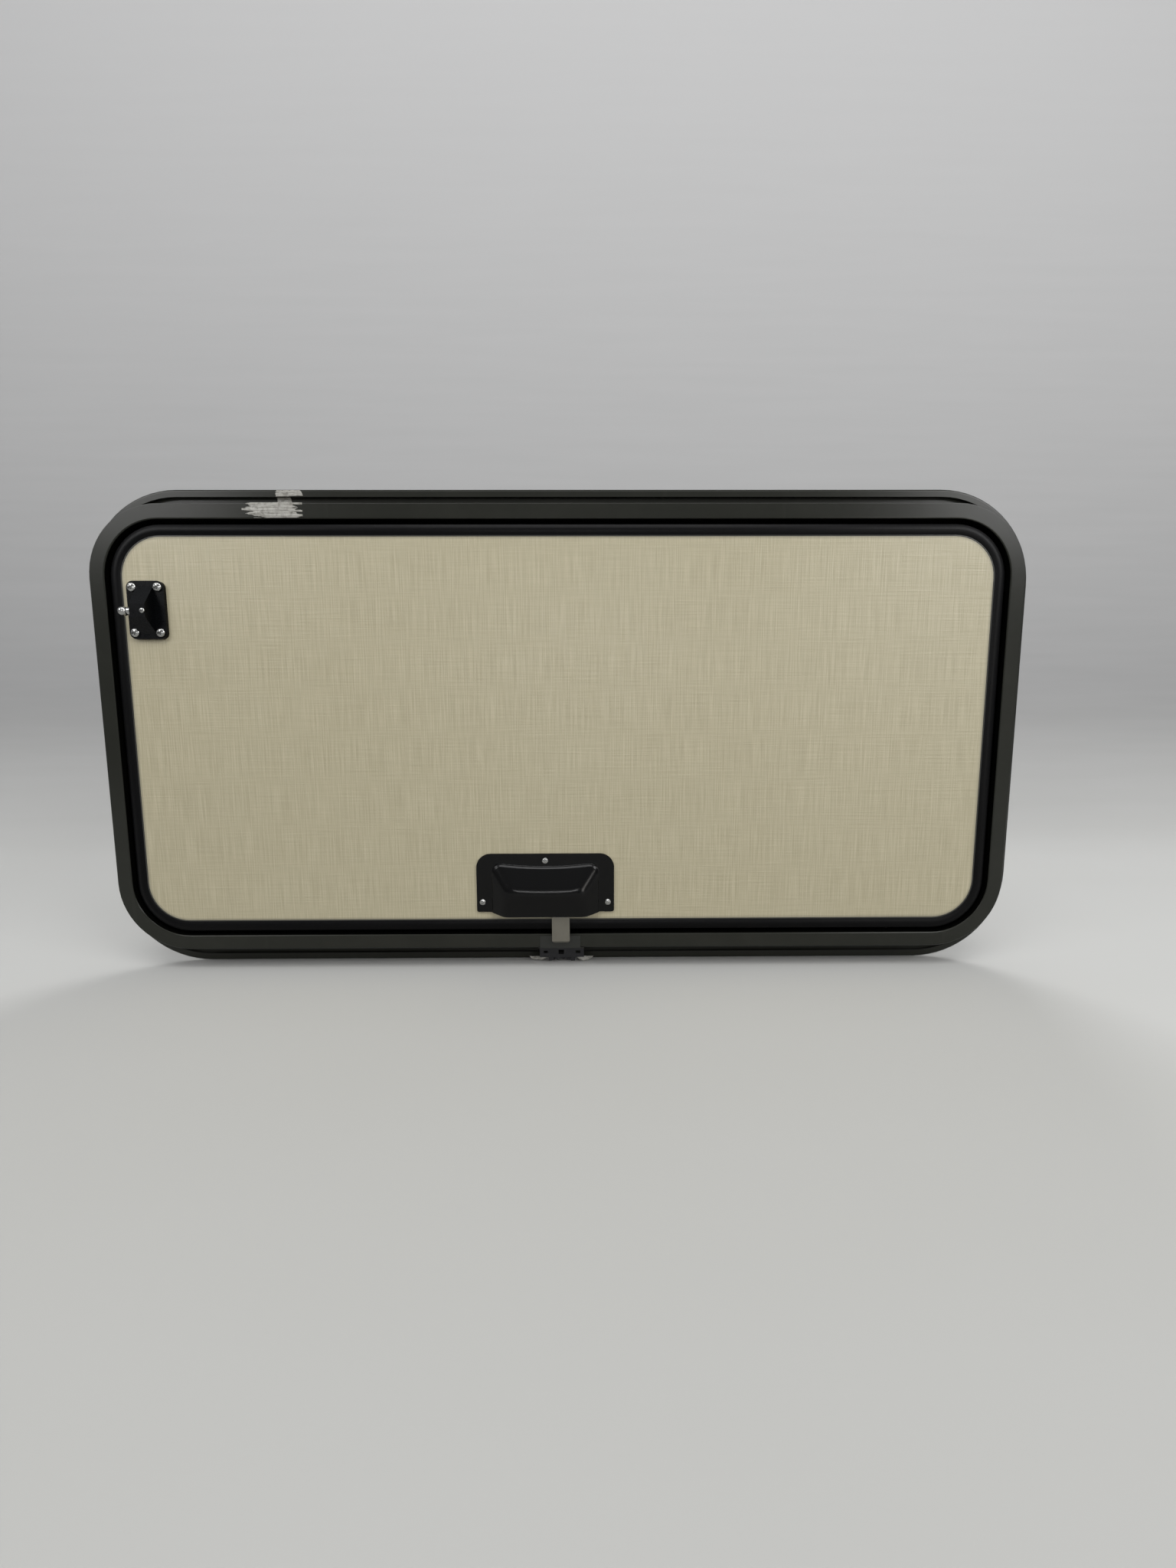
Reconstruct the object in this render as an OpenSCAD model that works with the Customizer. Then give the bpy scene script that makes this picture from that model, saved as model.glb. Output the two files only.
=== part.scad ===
// Caravan service door: bent aluminium frame, top-hinged insulated leaf, paddle slam latch and strut stud.
// +X runs along the door, +Z is up, and the door opens towards +Y. The zero point is the middle of
// the wall cut-out, in the plane where the flange meets the caravan's outer skin.

/* [Opening] */
// Clear width between the frame's inner edges
opening_w = 968; // [760:2:1200]
// Clear height between the frame's inner edges
opening_h = 454; // [400:2:640]
// Corner radius of the clear opening
opening_r = 61; // [52:1:90]
// Thickness of the caravan wall that the frame lines
wall_t = 31; // [29:0.5:40]

/* [Frame section] */
// Width of the band that shows inside the caravan
band_w = 16; // [14:0.5:22]
// Metal thickness of the hollow section
section_t = 1.6; // [1.2:0.1:2]
// How far the outer flange reaches past the band
flange_reach = 26.5; // [24:0.5:36]
// Thickness of the flange at its rim
flange_t = 6.2; // [5.6:0.1:7]
// Width of the rim that meets the wall
rim_w = 8.5; // [7:0.5:9]
// Depth of the sealant space behind the flange
sealant_t = 4.6; // [3.6:0.1:4.8]
// Radius on the band's long edges
edge_r = 1.2; // [0.6:0.1:2]
// Place of the butt joint along the top, left of the middle
joint_x = -302; // [-320:1:-200]
// Width of the butt joint
joint_gap = 0.5; // [0.3:0.1:1]
// Length of the cleat inside the joint
cleat_l = 60; // [40:1:90]

/* [Leaf] */
// Gap between the leaf's side and the frame
leaf_gap = 5; // [4.5:0.1:6]
// How far the leaf's face lies behind the band
leaf_recess = 2; // [1:0.1:3]
// Width of the rubber strip round the inner face
strip_w = 11; // [9:0.5:14]
// Thickness of the fabric-faced inner panel
panel_t = 4; // [3:0.5:6]
// Thickness of the outer skin
skin_t = 1.2; // [0.8:0.1:1.5]
// Metal thickness of the leaf's edge section
edge_t = 1.4; // [1.2:0.1:1.8]
// Width of the thin lip between rubber and panel
lip_t = 1; // [0.8:0.1:1.4]
// Thickness of the leaf's outer rim
leaf_rim_t = 2; // [1.6:0.1:2.4]
// How far the leaf's outer rim laps over the frame
lap = 12; // [10:0.5:13]
// Height of the seal between frame and leaf rim
seal_h = 2.85; // [2.6:0.05:3.4]

/* [Hinge] */
// Distance from a corner's start to the end of the hinge rails
rail_margin = 8; // [4:1:40]
// Height of the hinge line above the clear opening
hinge_rise = 19.5; // [19:0.5:22]
// Radius of the bead that turns in the socket
bead_r = 4; // [3.5:0.1:4]
// Running clearance between bead and socket
bead_gap = 0.08; // [0.05:0.01:0.1]
// Wall of the socket
socket_t = 1.9; // [1.6:0.1:2]
// Thickness of the rails' plates
rail_t = 2; // [1.6:0.1:2.2]
// Thickness of the neck that carries the bead
neck_t = 2.2; // [1.8:0.1:2.4]
// Largest angle that the leaf opens to
swing = 95; // [60:1:95]
// Number of rivets along each rail
rivet_n = 9; // [4:1:12]

/* [Latch] */
// Centre of the latch cover, from the middle of the door
lock_x = -19; // [-60:1:60]
// Height of the cover's lower edge above the opening's lower edge
lock_rise = 26.2; // [24.5:0.1:30]
// Width of the latch cover
cover_w = 155.4; // [150:0.2:170]
// Height of the latch cover
cover_h = 67.1; // [64:0.1:74]
// Wall of the latch cover
cover_t = 2; // [1.6:0.1:2.4]
// Height of the cover's raised body above its flange
bump_h = 15; // [14:0.5:18]
// Tongue centre, right of the cover's centre
tongue_offset = 17.3; // [14:0.1:20]
// Width of the tongue
tongue_w = 20; // [18:0.5:22]
// Thickness of the tongue
tongue_t = 4; // [3:0.1:4.2]
// How far the tongue laps onto the band
tongue_lap = 9.3; // [6:0.1:10]
// Lever length from the paddle's pin to its knob
lever_l = 26; // [26:0.5:27]
// Largest angle that the paddle is pulled to
paddle_swing = 30; // [20:1:30]
// Radius of the paddle's pin
pin_r = 2; // [1.6:0.1:2.2]
// Running clearance on pins and the key plug
run_gap = 0.06; // [0.03:0.01:0.1]

/* [Strut stud] */
// Distance of the stud plate's centre from the clear opening's left edge
stud_inset = 43.3; // [40:0.1:180]
// Distance of the stud plate's centre below the clear opening's upper edge
stud_drop = 93.7; // [60:0.1:120]
// Width of the stud plate
stud_w = 39.5; // [38:0.5:46]
// Height of the stud plate
stud_h = 60.6; // [56:0.2:70]
// Diameter of the ball
ball_d = 10; // [8:0.5:10]

/* [Hidden] */
$fn = 64;

// Everything is drawn lying on its outer face: x along the door, y up the door, and z is the height
// above the wall's outer skin, towards the inside of the caravan. upright() stands it up.
module upright() { rotate([90, 0, 0]) children(); }

// Small clearances
fit = 0.2;
soft_gap = 0.3;
hole_gap = 0.05;
over = 1;

// Heights above the wall's outer skin
band_z = wall_t;
face_z = band_z - leaf_recess;
outer_z = -flange_t;
rim_in_z = outer_z - seal_h - soft_gap - hole_gap;
rim_out_z = rim_in_z - leaf_rim_t;
panel_back_z = face_z - panel_t;
leg_top_z = panel_back_z + edge_t;
skin_in_z = rim_in_z + skin_t;

// Distances outside the clear opening's outline
flange_u = band_w + flange_reach;
rim_u = flange_u - rim_w;
leaf_u = -leaf_gap;
strip_u = leaf_u - strip_w;
lip_u = strip_u - fit - lip_t;
panel_u = lip_u - fit;
core_u = leaf_u - edge_t;
leg_u = leaf_u - 14;

top_y = opening_h / 2;
bottom_y = -opening_h / 2;

// Points on a circular arc
function arc(c, r, a0, a1, n = 4) =
    [for (i = [0:n]) c + r * [cos(a0 + (a1 - a0) * i / n), sin(a0 + (a1 - a0) * i / n)]];

// Rounded rectangle round the origin
module round_rect(w, h, r) {
    square([w - 2 * r, h], center = true);
    square([w, h - 2 * r], center = true);
    for (sx = [-1, 1], sy = [-1, 1])
        translate([sx * (w / 2 - r), sy * (h / 2 - r)]) circle(r);
}

// Flat plate between two heights, with rounded corners
module plate(x0, x1, y0, y1, z0, z1, r) {
    translate([(x0 + x1) / 2, (y0 + y1) / 2, z0])
        linear_extrude(z1 - z0) round_rect(x1 - x0, y1 - y0, r);
}

// Square-cornered block between two heights
module block(x0, x1, y0, y1, z0, z1) {
    translate([x0, y0, z0]) cube([x1 - x0, y1 - y0, z1 - z0]);
}

// Plate whose outline lies u outside the clear opening
module outline_plate(u, z0, z1) {
    translate([0, 0, z0]) linear_extrude(z1 - z0)
        round_rect(opening_w + 2 * u, opening_h + 2 * u, opening_r + u);
}

// A section bent round the clear opening. Its x is the distance outside that outline.
module ring() {
    for (k = [0:3]) {
        side = (k % 2 == 0 ? opening_h : opening_w) - 2 * opening_r;
        out = (k % 2 == 0 ? opening_w : opening_h) / 2;
        rotate([0, 0, 90 * k]) {
            translate([out, side / 2, 0]) rotate([90, 0, 0]) linear_extrude(side) children();
            translate([out - opening_r, side / 2, 0])
                rotate_extrude(angle = 90, $fn = 96) translate([opening_r, 0]) children();
        }
    }
}

// A section in y and z, drawn out along x
module along_x(x0, x1) {
    translate([x0, 0, 0]) rotate([90, 0, 90]) linear_extrude(x1 - x0) children();
}

// A round bar along x
module bar_x(x0, x1, y, z, r) {
    translate([x0, y, z]) rotate([0, 90, 0]) cylinder(r = r, h = x1 - x0);
}

// Holes along z at a list of places
module holes(places, r, z0, z1) {
    for (p = places) translate([p[0], p[1], z0]) cylinder(r = r, h = z1 - z0);
}

// Pan-head screw with a cross recess, its head standing on height z
module pan_screw(z, head_r, head_h, shank_r, length) {
    slot_w = head_r * 0.26;
    slot_l = head_r * 1.1;
    translate([0, 0, z]) {
        difference() {
            rotate_extrude()
                polygon(concat([[0, 0], [head_r * 0.96, 0]],
                    [for (i = [0:5]) [head_r * cos(i * 15), head_h * (0.3 + 0.7 * sin(i * 15))]],
                    [[0, head_h]]));
            for (a = [25, 115]) rotate([0, 0, a])
                translate([-slot_l / 2, -slot_w / 2, head_h * 0.45]) cube([slot_l, slot_w, head_h]);
        }
        translate([0, 0, -length]) cylinder(r = shank_r, h = length);
    }
}

// Frame section: hollow band, flange with a sealant space behind it, and a slot for the seal
slot_u = 5.5;
slot_mouth = 3;
slot_inner = 4.6;
slot_depth = 2.4;
hollow_z = outer_z + slot_depth + section_t;
module frame_section() {
    mouth_z = outer_z + slot_depth / 2;
    rim_r = flange_t / 2;
    difference() {
        polygon(concat(
            arc([edge_r, band_z - edge_r], edge_r, 180, 90),
            arc([band_w - edge_r, band_z - edge_r], edge_r, 90, 0),
            [[band_w, -sealant_t], [rim_u, -sealant_t], [rim_u, 0]],
            arc([flange_u - rim_r, outer_z + rim_r], rim_r, 90, -90, 8),
            [[slot_u + slot_mouth / 2, outer_z], [slot_u + slot_mouth / 2, mouth_z],
             [slot_u + slot_inner / 2, mouth_z], [slot_u + slot_inner / 2, outer_z + slot_depth],
             [slot_u - slot_inner / 2, outer_z + slot_depth], [slot_u - slot_inner / 2, mouth_z],
             [slot_u - slot_mouth / 2, mouth_z], [slot_u - slot_mouth / 2, outer_z]],
            arc([edge_r, outer_z + edge_r], edge_r, 270, 180)));
        polygon([[section_t, hollow_z], [band_w - section_t, hollow_z],
                 [band_w - section_t, band_z - section_t], [section_t, band_z - section_t]]);
    }
}

module frame_ring() color([0.2, 0.2, 0.19]) upright() difference() {
    ring() frame_section();
    block(joint_x - joint_gap / 2, joint_x + joint_gap / 2, top_y - over, top_y + flange_u + over,
          outer_z - over, band_z + over);
    holes(frame_rivets, rivet_r + hole_gap, outer_z - over, over);
}

// Square tube inside the hollow section, across the butt joint
module frame_joint_cleat() color([0.75, 0.76, 0.77]) upright() {
    wall = 2;
    low = [top_y + section_t + fit, hollow_z + fit];
    high = [top_y + band_w - section_t - fit, band_z - section_t - fit];
    difference() {
        block(joint_x - cleat_l / 2, joint_x + cleat_l / 2, low[0], high[0], low[1], high[1]);
        block(joint_x - cleat_l / 2 - over, joint_x + cleat_l / 2 + over,
              low[0] + wall, high[0] - wall, low[1] + wall, high[1] - wall);
    }
}

// Cured sealant dragged over the butt joint: a thin ragged smear on the band, and a bead that runs from it
// down the section's outer wall and into the sealant space
smear_l = 62;
bead_l = 15;
smear_t = 0.6;
smear_in = 2.2;
smear_out = 0.6;
module joint_sealant() color([0.85, 0.84, 0.8]) upright() {
    n = 20;
    side = top_y + band_w;
    low = [for (i = [0:n])
        [joint_x - smear_l / 2 + smear_l * i / n, top_y + smear_in + 1.3 * sin(i * 97)]];
    high = [for (i = [n:-1:0])
        [joint_x - smear_l / 2 + smear_l * i / n, side - smear_out + 0.5 * sin(i * 71)]];
    translate([0, 0, band_z]) linear_extrude(smear_t) polygon(concat(low, high));
    along_x(joint_x - bead_l / 2, joint_x + bead_l / 2)
        polygon([[side - 2, band_z], [side, band_z], [side, -sealant_t],
                 [top_y + rim_u, -sealant_t], [top_y + rim_u, -smear_t], [top_y + rim_u - 2, -2.4],
                 [side + 5, -2.8], [side + smear_t, 2],
                 [side + smear_t, band_z], [side - 1, band_z + smear_t], [side - 2, band_z + smear_t]]);
}

// Hollow bulb seal with its foot in the frame's slot
module frame_seal() color([0.05, 0.05, 0.05]) upright() ring() {
    foot = 0.15;
    mouth_z = outer_z + slot_depth / 2;
    mouth = slot_mouth / 2 - foot;
    inner = slot_inner / 2 - foot;
    bulb_z = outer_z - hole_gap;
    top_z = outer_z + slot_depth - foot;
    difference() {
        translate([slot_u, 0]) polygon(concat(
            arc([0, bulb_z], seal_h - hole_gap, 180, 360, 10),
            [[mouth, bulb_z], [mouth, mouth_z + foot], [inner, mouth_z + foot], [inner, top_z],
             [-inner, top_z], [-inner, mouth_z + foot], [-mouth, mouth_z + foot], [-mouth, bulb_z]]));
        polygon(arc([slot_u, outer_z - 0.9], seal_h - 1.8, 180, 360, 8));
    }
}

// Black clip that the tongue rubs on: a thin plate on the band, a web outside it and a foot with holes
clip_w = 52;
clip_t = 0.6;
clip_foot_z = 14;
clip_foot_w = 9;
clip_prong_w = 5;
clip_prong_l = 15.5;
clip_prong_t = 1.6;
clip_prong_out = 13;
module striker_clip() color([0.07, 0.07, 0.08]) upright() {
    x0 = tongue_x - clip_w / 2;
    x1 = tongue_x + clip_w / 2;
    outside = bottom_y - band_w;
    foot_t = 4;
    foot_y = outside - clip_foot_w / 2 - clip_t / 2;
    difference() {
        union() {
            block(x0 + 2, x1 - 4, outside - clip_t, bottom_y - 2, band_z, band_z + clip_t);
            block(x0, x1, outside - clip_t, outside, clip_foot_z - foot_t, band_z + clip_t);
            block(x0, x1, outside - clip_foot_w, outside, clip_foot_z - foot_t, clip_foot_z);
            for (sx = [-1, 1]) translate([tongue_x + sx * clip_prong_out, 0, 0])
                block(-clip_prong_w / 2, clip_prong_w / 2, outside - clip_foot_w - clip_prong_l,
                      outside - clip_foot_w + 1, clip_foot_z - foot_t, clip_foot_z - foot_t + clip_prong_t);
        }
        block(tongue_x - 3.6, tongue_x + 3.6, foot_y - 3, foot_y + 2.6, clip_foot_z - 3, clip_foot_z + over);
        for (sx = [-1, 1]) translate([tongue_x + sx * 19.5, foot_y, clip_foot_z - foot_t - over])
            linear_extrude(foot_t + 2 * over) round_rect(5.6, 3.2, 1.5);
    }
}

// Hinge line and the rails' places
hinge_y = top_y + hinge_rise;
hinge_z = rim_out_z - rail_t / 2 - neck_t / 2 + 0.1;
rail_x = opening_w / 2 - opening_r - rail_margin;
rail_gap = 0.5;
frame_rail_z = outer_z - rail_t;
frame_rivet_y = hinge_y + 11.5;
leaf_rivet_y = top_y - 13;
rivet_r = 1.6;
rivet_head_r = 4;
rivet_head_h = 1.2;
rivet_inset = 20;
rivet_tail_r = 2.6;
rivet_tail_h = 1.2;
rivet_pitch = 2 * (rail_x - rivet_inset) / (rivet_n - 1);
frame_rivets = [for (i = [0:rivet_n - 1]) [-rail_x + rivet_inset + i * rivet_pitch, frame_rivet_y]];
leaf_rivets = [for (i = [0:rivet_n - 1]) [-rail_x + rivet_inset + i * rivet_pitch, leaf_rivet_y]];

// Frame half of the hinge: a plate on the flange and a socket that wraps the bead
module frame_hinge_rail() color([0.2, 0.2, 0.19]) upright() {
    socket_r = bead_r + bead_gap;
    neck_angle = asin(neck_t / 2 / socket_r) + 4;
    from = 180 - neck_angle;
    to = 180 + swing + neck_angle;
    far = 4 * bead_r;
    difference() {
        along_x(-rail_x, rail_x) difference() {
            union() {
                translate([hinge_y, hinge_z]) circle(socket_r + socket_t);
                translate([hinge_y, hinge_z]) square([socket_r + socket_t, frame_rail_z - hinge_z + rail_t]);
                translate([hinge_y, frame_rail_z]) square([frame_rivet_y + 7 - hinge_y, rail_t]);
            }
            translate([hinge_y, hinge_z]) circle(socket_r);
            translate([hinge_y, hinge_z])
                polygon(concat([[0, 0]], arc([0, 0], far, from, to, 6)));
        }
        holes(frame_rivets, rivet_r + hole_gap, frame_rail_z - over, outer_z + over);
    }
}

// Leaf half of the hinge: a plate on the leaf's rim, a neck and a round bead
module leaf_hinge_rail() color([0.2, 0.2, 0.19]) upright() difference() {
    along_x(-rail_x + rail_gap, rail_x - rail_gap) {
        translate([hinge_y, hinge_z]) circle(bead_r);
        translate([top_y + lap - 2.5, hinge_z - neck_t / 2]) square([hinge_y - top_y - lap + 2.5, neck_t]);
        translate([leaf_rivet_y - 6, rim_out_z - rail_t]) square([top_y + lap - leaf_rivet_y + 5.5, rail_t]);
    }
    holes(leaf_rivets, rivet_r + hole_gap, rim_out_z - rail_t - over, rim_out_z + over);
}

// Rivet whose head stands on height z and faces outwards
module rivet(z, grip) {
    translate([0, 0, z]) {
        rotate_extrude() polygon(concat([[0, 0], [rivet_head_r, 0]],
            [for (i = [0:4]) [rivet_head_r * cos(i * 18), -rivet_head_h * (0.25 + 0.75 * sin(i * 18))]],
            [[0, -rivet_head_h]]));
        cylinder(r = rivet_r, h = grip);
    }
}

// Solid rivets, set flush with the flange's inner face
module frame_rail_rivets() color([0.2, 0.2, 0.19]) upright()
    for (p = frame_rivets) translate(p) rivet(frame_rail_z, rail_t + flange_t - sealant_t);

// Blind rivets, whose tails spread behind the outer skin
module leaf_rail_rivets() color([0.2, 0.2, 0.19]) upright()
    for (p = leaf_rivets) translate(p) {
        rivet(rim_out_z - rail_t, rail_t + leaf_rim_t + skin_t);
        translate([0, 0, skin_in_z]) cylinder(r = rivet_tail_r, h = rivet_tail_h);
    }

// Caps that close the ends of the socket and stop the bead from sliding out
module hinge_end_caps() color([0.08, 0.08, 0.08]) upright() {
    cap_l = 3;
    cap_r = bead_r + bead_gap + socket_t;
    for (sx = [-1, 1]) translate([sx * (rail_x + cap_l / 2), 0, 0]) {
        bar_x(-cap_l / 2, cap_l / 2, hinge_y, hinge_z, cap_r);
        block(-cap_l / 2, cap_l / 2, hinge_y, frame_rivet_y + 5, frame_rail_z, outer_z);
        block(-cap_l / 2, cap_l / 2, hinge_y, hinge_y + cap_r, hinge_z, outer_z);
    }
}

// Leaf edge section: outer rim, side wall, and a channel for the rubber strip
module leaf_edge_section() {
    rim_r = leaf_rim_t / 2;
    polygon(concat(
        [[leg_u, rim_out_z]],
        arc([lap - rim_r, rim_out_z + rim_r], rim_r, -90, 90, 6),
        [[leaf_u, rim_in_z], [leaf_u, leg_top_z], [strip_u - fit, leg_top_z],
         [strip_u - fit, face_z + 0.2], [lip_u, face_z + 0.2], [lip_u, panel_back_z],
         [core_u, panel_back_z], [core_u, rim_in_z], [leg_u, rim_in_z]]));
}

module leaf_edge_frame() color([0.5, 0.5, 0.48]) upright() difference() {
    ring() leaf_edge_section();
    holes(leaf_rivets, rivet_r + hole_gap, rim_out_z - over, rim_in_z + over);
}

// Domed rubber strip in the leaf's channel, flush with the leaf's side
module leaf_rubber_strip() color([0.05, 0.05, 0.05]) upright() ring() {
    n = 10;
    side_z = leg_top_z + 1.8;
    polygon(concat(
        [[strip_u, leg_top_z], [leaf_u, leg_top_z]],
        [for (i = [0:n]) [leaf_u - strip_w * i / n, side_z + 1.4 * sin(180 * i / n) + 0.3 * i / n]]));
}

// Hole for the dish's bowl
module bowl_hole(z0, z1) {
    plate(bowl_x0 - over, bowl_x1 + over, bowl_y0 - over, bowl_y1 + over, z0, z1, bowl_r + over / 2);
}

module leaf_core() color([0.9, 0.88, 0.8]) upright() difference() {
    outline_plate(core_u - hole_gap, skin_in_z, panel_back_z);
    bowl_hole(skin_in_z - over, panel_back_z + over);
    holes([cylinder_at], boss_r + over / 2, skin_in_z - over, panel_back_z + over);
    holes(concat(cover_screw_at, bracket_screw_at), screw_r + hole_gap,
          face_z - screw_l - over, panel_back_z + over);
    holes(leaf_rivets, rivet_tail_r + fit, skin_in_z - over, skin_in_z + rivet_tail_h + fit);
}

module leaf_outer_skin() color([0.86, 0.86, 0.84]) upright() difference() {
    outline_plate(core_u - hole_gap, rim_in_z, skin_in_z);
    bowl_hole(rim_in_z - over, skin_in_z + over);
    holes([cylinder_at], boss_r + over / 2, rim_in_z - over, skin_in_z + over);
    holes(leaf_rivets, rivet_r + hole_gap, rim_in_z - over, skin_in_z + over);
}

module leaf_inner_panel() color([0.66, 0.62, 0.52]) upright() difference() {
    outline_plate(panel_u, panel_back_z, face_z);
    plate(tongue_x - 10, tongue_x + 10, pivot_y - 6, pivot_y + travel + 6,
          panel_back_z - over, face_z + over, 3);
    holes([cylinder_at], cylinder_r + fit, panel_back_z - over, face_z + over);
    holes(body_screw_at, screw_r + hole_gap, panel_back_z - over, face_z + over);
    holes(concat(cover_screw_at, bracket_screw_at), screw_r + hole_gap, panel_back_z - over, face_z + over);
}

// Latch places
tongue_x = lock_x + tongue_offset;
lock_y = bottom_y + lock_rise;
pivot_y = lock_y + 16;
travel = lever_l * sin(paddle_swing);
cover_half = cover_w / 2;
bump_half = cover_half - 16.7;
nut_r = 13;
cylinder_at = [lock_x - bump_half + cover_t + nut_r + 3, lock_y + 26.8];
cylinder_r = 9;
boss_r = 12;
plug_r = 6;
screw_r = 1.7;
screw_l = 9.5;
body_t = 2.6;
body_z = face_z + body_t;
tongue_z = band_z + clip_t + soft_gap;
pivot_z = tongue_z + tongue_t / 2 - lever_l;
pan_r = 3.5;
pan_h = 2;
cover_screw_at = [[lock_x, lock_y + cover_h - 8], [lock_x - cover_half + 6.6, lock_y + 11.5],
                  [lock_x + cover_half - 7, lock_y + 11.2]];
body_screw_out = 20;
body_screw_rise = [7, 35];
body_screw_at = [for (sx = [-1, 1], rise = body_screw_rise) [tongue_x + sx * body_screw_out, lock_y + rise]];

// Paddle dish: outer flange, bowl for the paddle, ears for its pin, a boss for the key cylinder
dish_t = 2.5;
gasket_t = 0.8;
dish_z = rim_in_z - gasket_t;
dish_out_z = dish_z - dish_t;
dish_x0 = lock_x - cover_half + 2.7;
dish_x1 = lock_x + cover_half - 2.7;
dish_y0 = lock_y - 5;
dish_y1 = lock_y + cover_h + 2;
dish_r = 12;
bowl_t = 2;
bowl_r = 7;
bowl_x0 = cylinder_at[0] + boss_r + 2.3;
bowl_x1 = dish_x1 - 11.7;
bowl_y0 = lock_y;
bowl_y1 = dish_y1 - 5;
bowl_z = panel_back_z - 5;
paddle_x0 = bowl_x0 + 12;
paddle_x1 = bowl_x1 - 12;
paddle_top = bowl_y1 - 18;
paddle_low = pivot_y - 4.5;
paddle_out_z = dish_out_z + 2.5;
hub_half = 15.5;
hub_r = 4.5;
knob_r = 3;

module lock_dish() color([0.06, 0.06, 0.07]) upright() difference() {
    union() {
        plate(dish_x0, dish_x1, dish_y0, dish_y1, dish_out_z, dish_z, dish_r);
        plate(bowl_x0, bowl_x1, bowl_y0, bowl_y1, dish_z, bowl_z, bowl_r);
        holes([cylinder_at], boss_r, dish_z, dish_z + 14);
        holes(body_screw_at, 3.8, bowl_z - bowl_t, panel_back_z);
    }
    difference() {
        plate(bowl_x0 + bowl_t, bowl_x1 - bowl_t, bowl_y0 + bowl_t, bowl_y1 - bowl_t,
              dish_out_z - over, bowl_z - bowl_t, bowl_r - bowl_t);
        for (sx = [-1, 1]) translate([tongue_x + sx * (hub_half + 2.5), 0, 0]) {
            block(-2, 2, pivot_y - 5, pivot_y + 5, pivot_z, bowl_z);
            bar_x(-2, 2, pivot_y, pivot_z, 5);
        }
    }
    bar_x(tongue_x - hub_half - 5, tongue_x + hub_half + 5, pivot_y, pivot_z, pin_r + hole_gap / 2);
    plate(tongue_x - 9, tongue_x + 9, pivot_y - 4.5, pivot_y + 14, bowl_z - bowl_t - over, bowl_z + over, 2);
    holes([cylinder_at], cylinder_r + fit, dish_out_z - over, dish_z + 15);
    holes(body_screw_at, screw_r + hole_gap, bowl_z - bowl_t - over, panel_back_z + over);
}

module dish_gasket() color([0.1, 0.1, 0.1]) upright() difference() {
    plate(dish_x0 + 1, dish_x1 - 1, dish_y0 + 1, dish_y1 - 1, dish_z, rim_in_z, dish_r - 1);
    bowl_hole(dish_z - over, rim_in_z + over);
    holes([cylinder_at], boss_r + over / 2, dish_z - over, rim_in_z + over);
}

module paddle_pin() color([0.7, 0.7, 0.72]) upright()
    bar_x(tongue_x - hub_half - 4.4, tongue_x + hub_half + 4.4, pivot_y, pivot_z, pin_r);

// Paddle: grip plate, two webs, hub, and a lever whose knob moves the tongue
module lock_paddle() color([0.06, 0.06, 0.07]) upright() difference() {
    union() {
        plate(paddle_x0, paddle_x1, paddle_low, paddle_top, paddle_out_z, paddle_out_z + 3, 5);
        bar_x(paddle_x0 + 6, paddle_x1 - 6, paddle_top - 3, paddle_out_z + 3, 2);
        bar_x(tongue_x - hub_half, tongue_x + hub_half, pivot_y, pivot_z, hub_r);
        for (sx = [-1, 1]) translate([tongue_x + sx * 12, 0, 0])
            along_x(-1.5, 1.5) polygon([[pivot_y - hub_r, pivot_z], [paddle_low + 0.5, paddle_out_z + 2],
                [paddle_top - 9, paddle_out_z + 2], [pivot_y + hub_r, pivot_z]]);
        along_x(tongue_x - 6, tongue_x + 6)
            translate([pivot_y - 2.5, pivot_z]) square([5, lever_l - 1]);
        bar_x(tongue_x - 7, tongue_x + 7, pivot_y, pivot_z + lever_l, knob_r);
    }
    bar_x(tongue_x - hub_half - over, tongue_x + hub_half + over, pivot_y, pivot_z, pin_r + run_gap);
}

// Key cylinder, its nut on the inner panel, and the plug that turns in it
cylinder_end_z = face_z + 4.5;
nut_t = 2.5;
module lock_cylinder() color([0.6, 0.6, 0.6]) upright() difference() {
    union() {
        holes([cylinder_at], cylinder_r, dish_out_z, cylinder_end_z);
        holes([cylinder_at], cylinder_r + 2.2, dish_out_z - 1.5, dish_out_z);
    }
    holes([cylinder_at], plug_r + run_gap, dish_out_z - 2 * over, cylinder_end_z + over);
}

module cylinder_nut() color([0.7, 0.7, 0.7]) upright() difference() {
    translate([cylinder_at[0], cylinder_at[1], face_z]) cylinder(r = nut_r, h = nut_t, $fn = 6);
    holes([cylinder_at], cylinder_r + hole_gap, face_z - over, face_z + nut_t + over);
}

module key_plug() color([0.62, 0.6, 0.55]) upright() difference() {
    holes([cylinder_at], plug_r, dish_out_z - 1.5, cylinder_end_z + fit);
    translate([cylinder_at[0], cylinder_at[1], dish_out_z - 2 * over]) block(-1.1, 1.1, -4, 4, 0, 12);
    holes([cylinder_at], 2 + hole_gap, cylinder_end_z - 9, cylinder_end_z + over);
}

cam_z = cylinder_end_z + fit;
cam_t = 2.2;
cam_l = 16;
cam_end_r = 4;
module key_cam() color([0.7, 0.7, 0.7]) upright() translate([cylinder_at[0], cylinder_at[1], cam_z])
    linear_extrude(cam_t) difference() {
        union() {
            circle(5.5);
            translate([-cam_end_r, -cam_l]) square([2 * cam_end_r, cam_l]);
            translate([0, -cam_l]) circle(cam_end_r);
        }
        circle(2 + hole_gap);
    }

module cam_screw() color([0.7, 0.7, 0.7]) upright()
    translate([cylinder_at[0], cylinder_at[1], 0]) pan_screw(cam_z + cam_t, pan_r, 1.6, 2, cam_t + 8);

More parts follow.
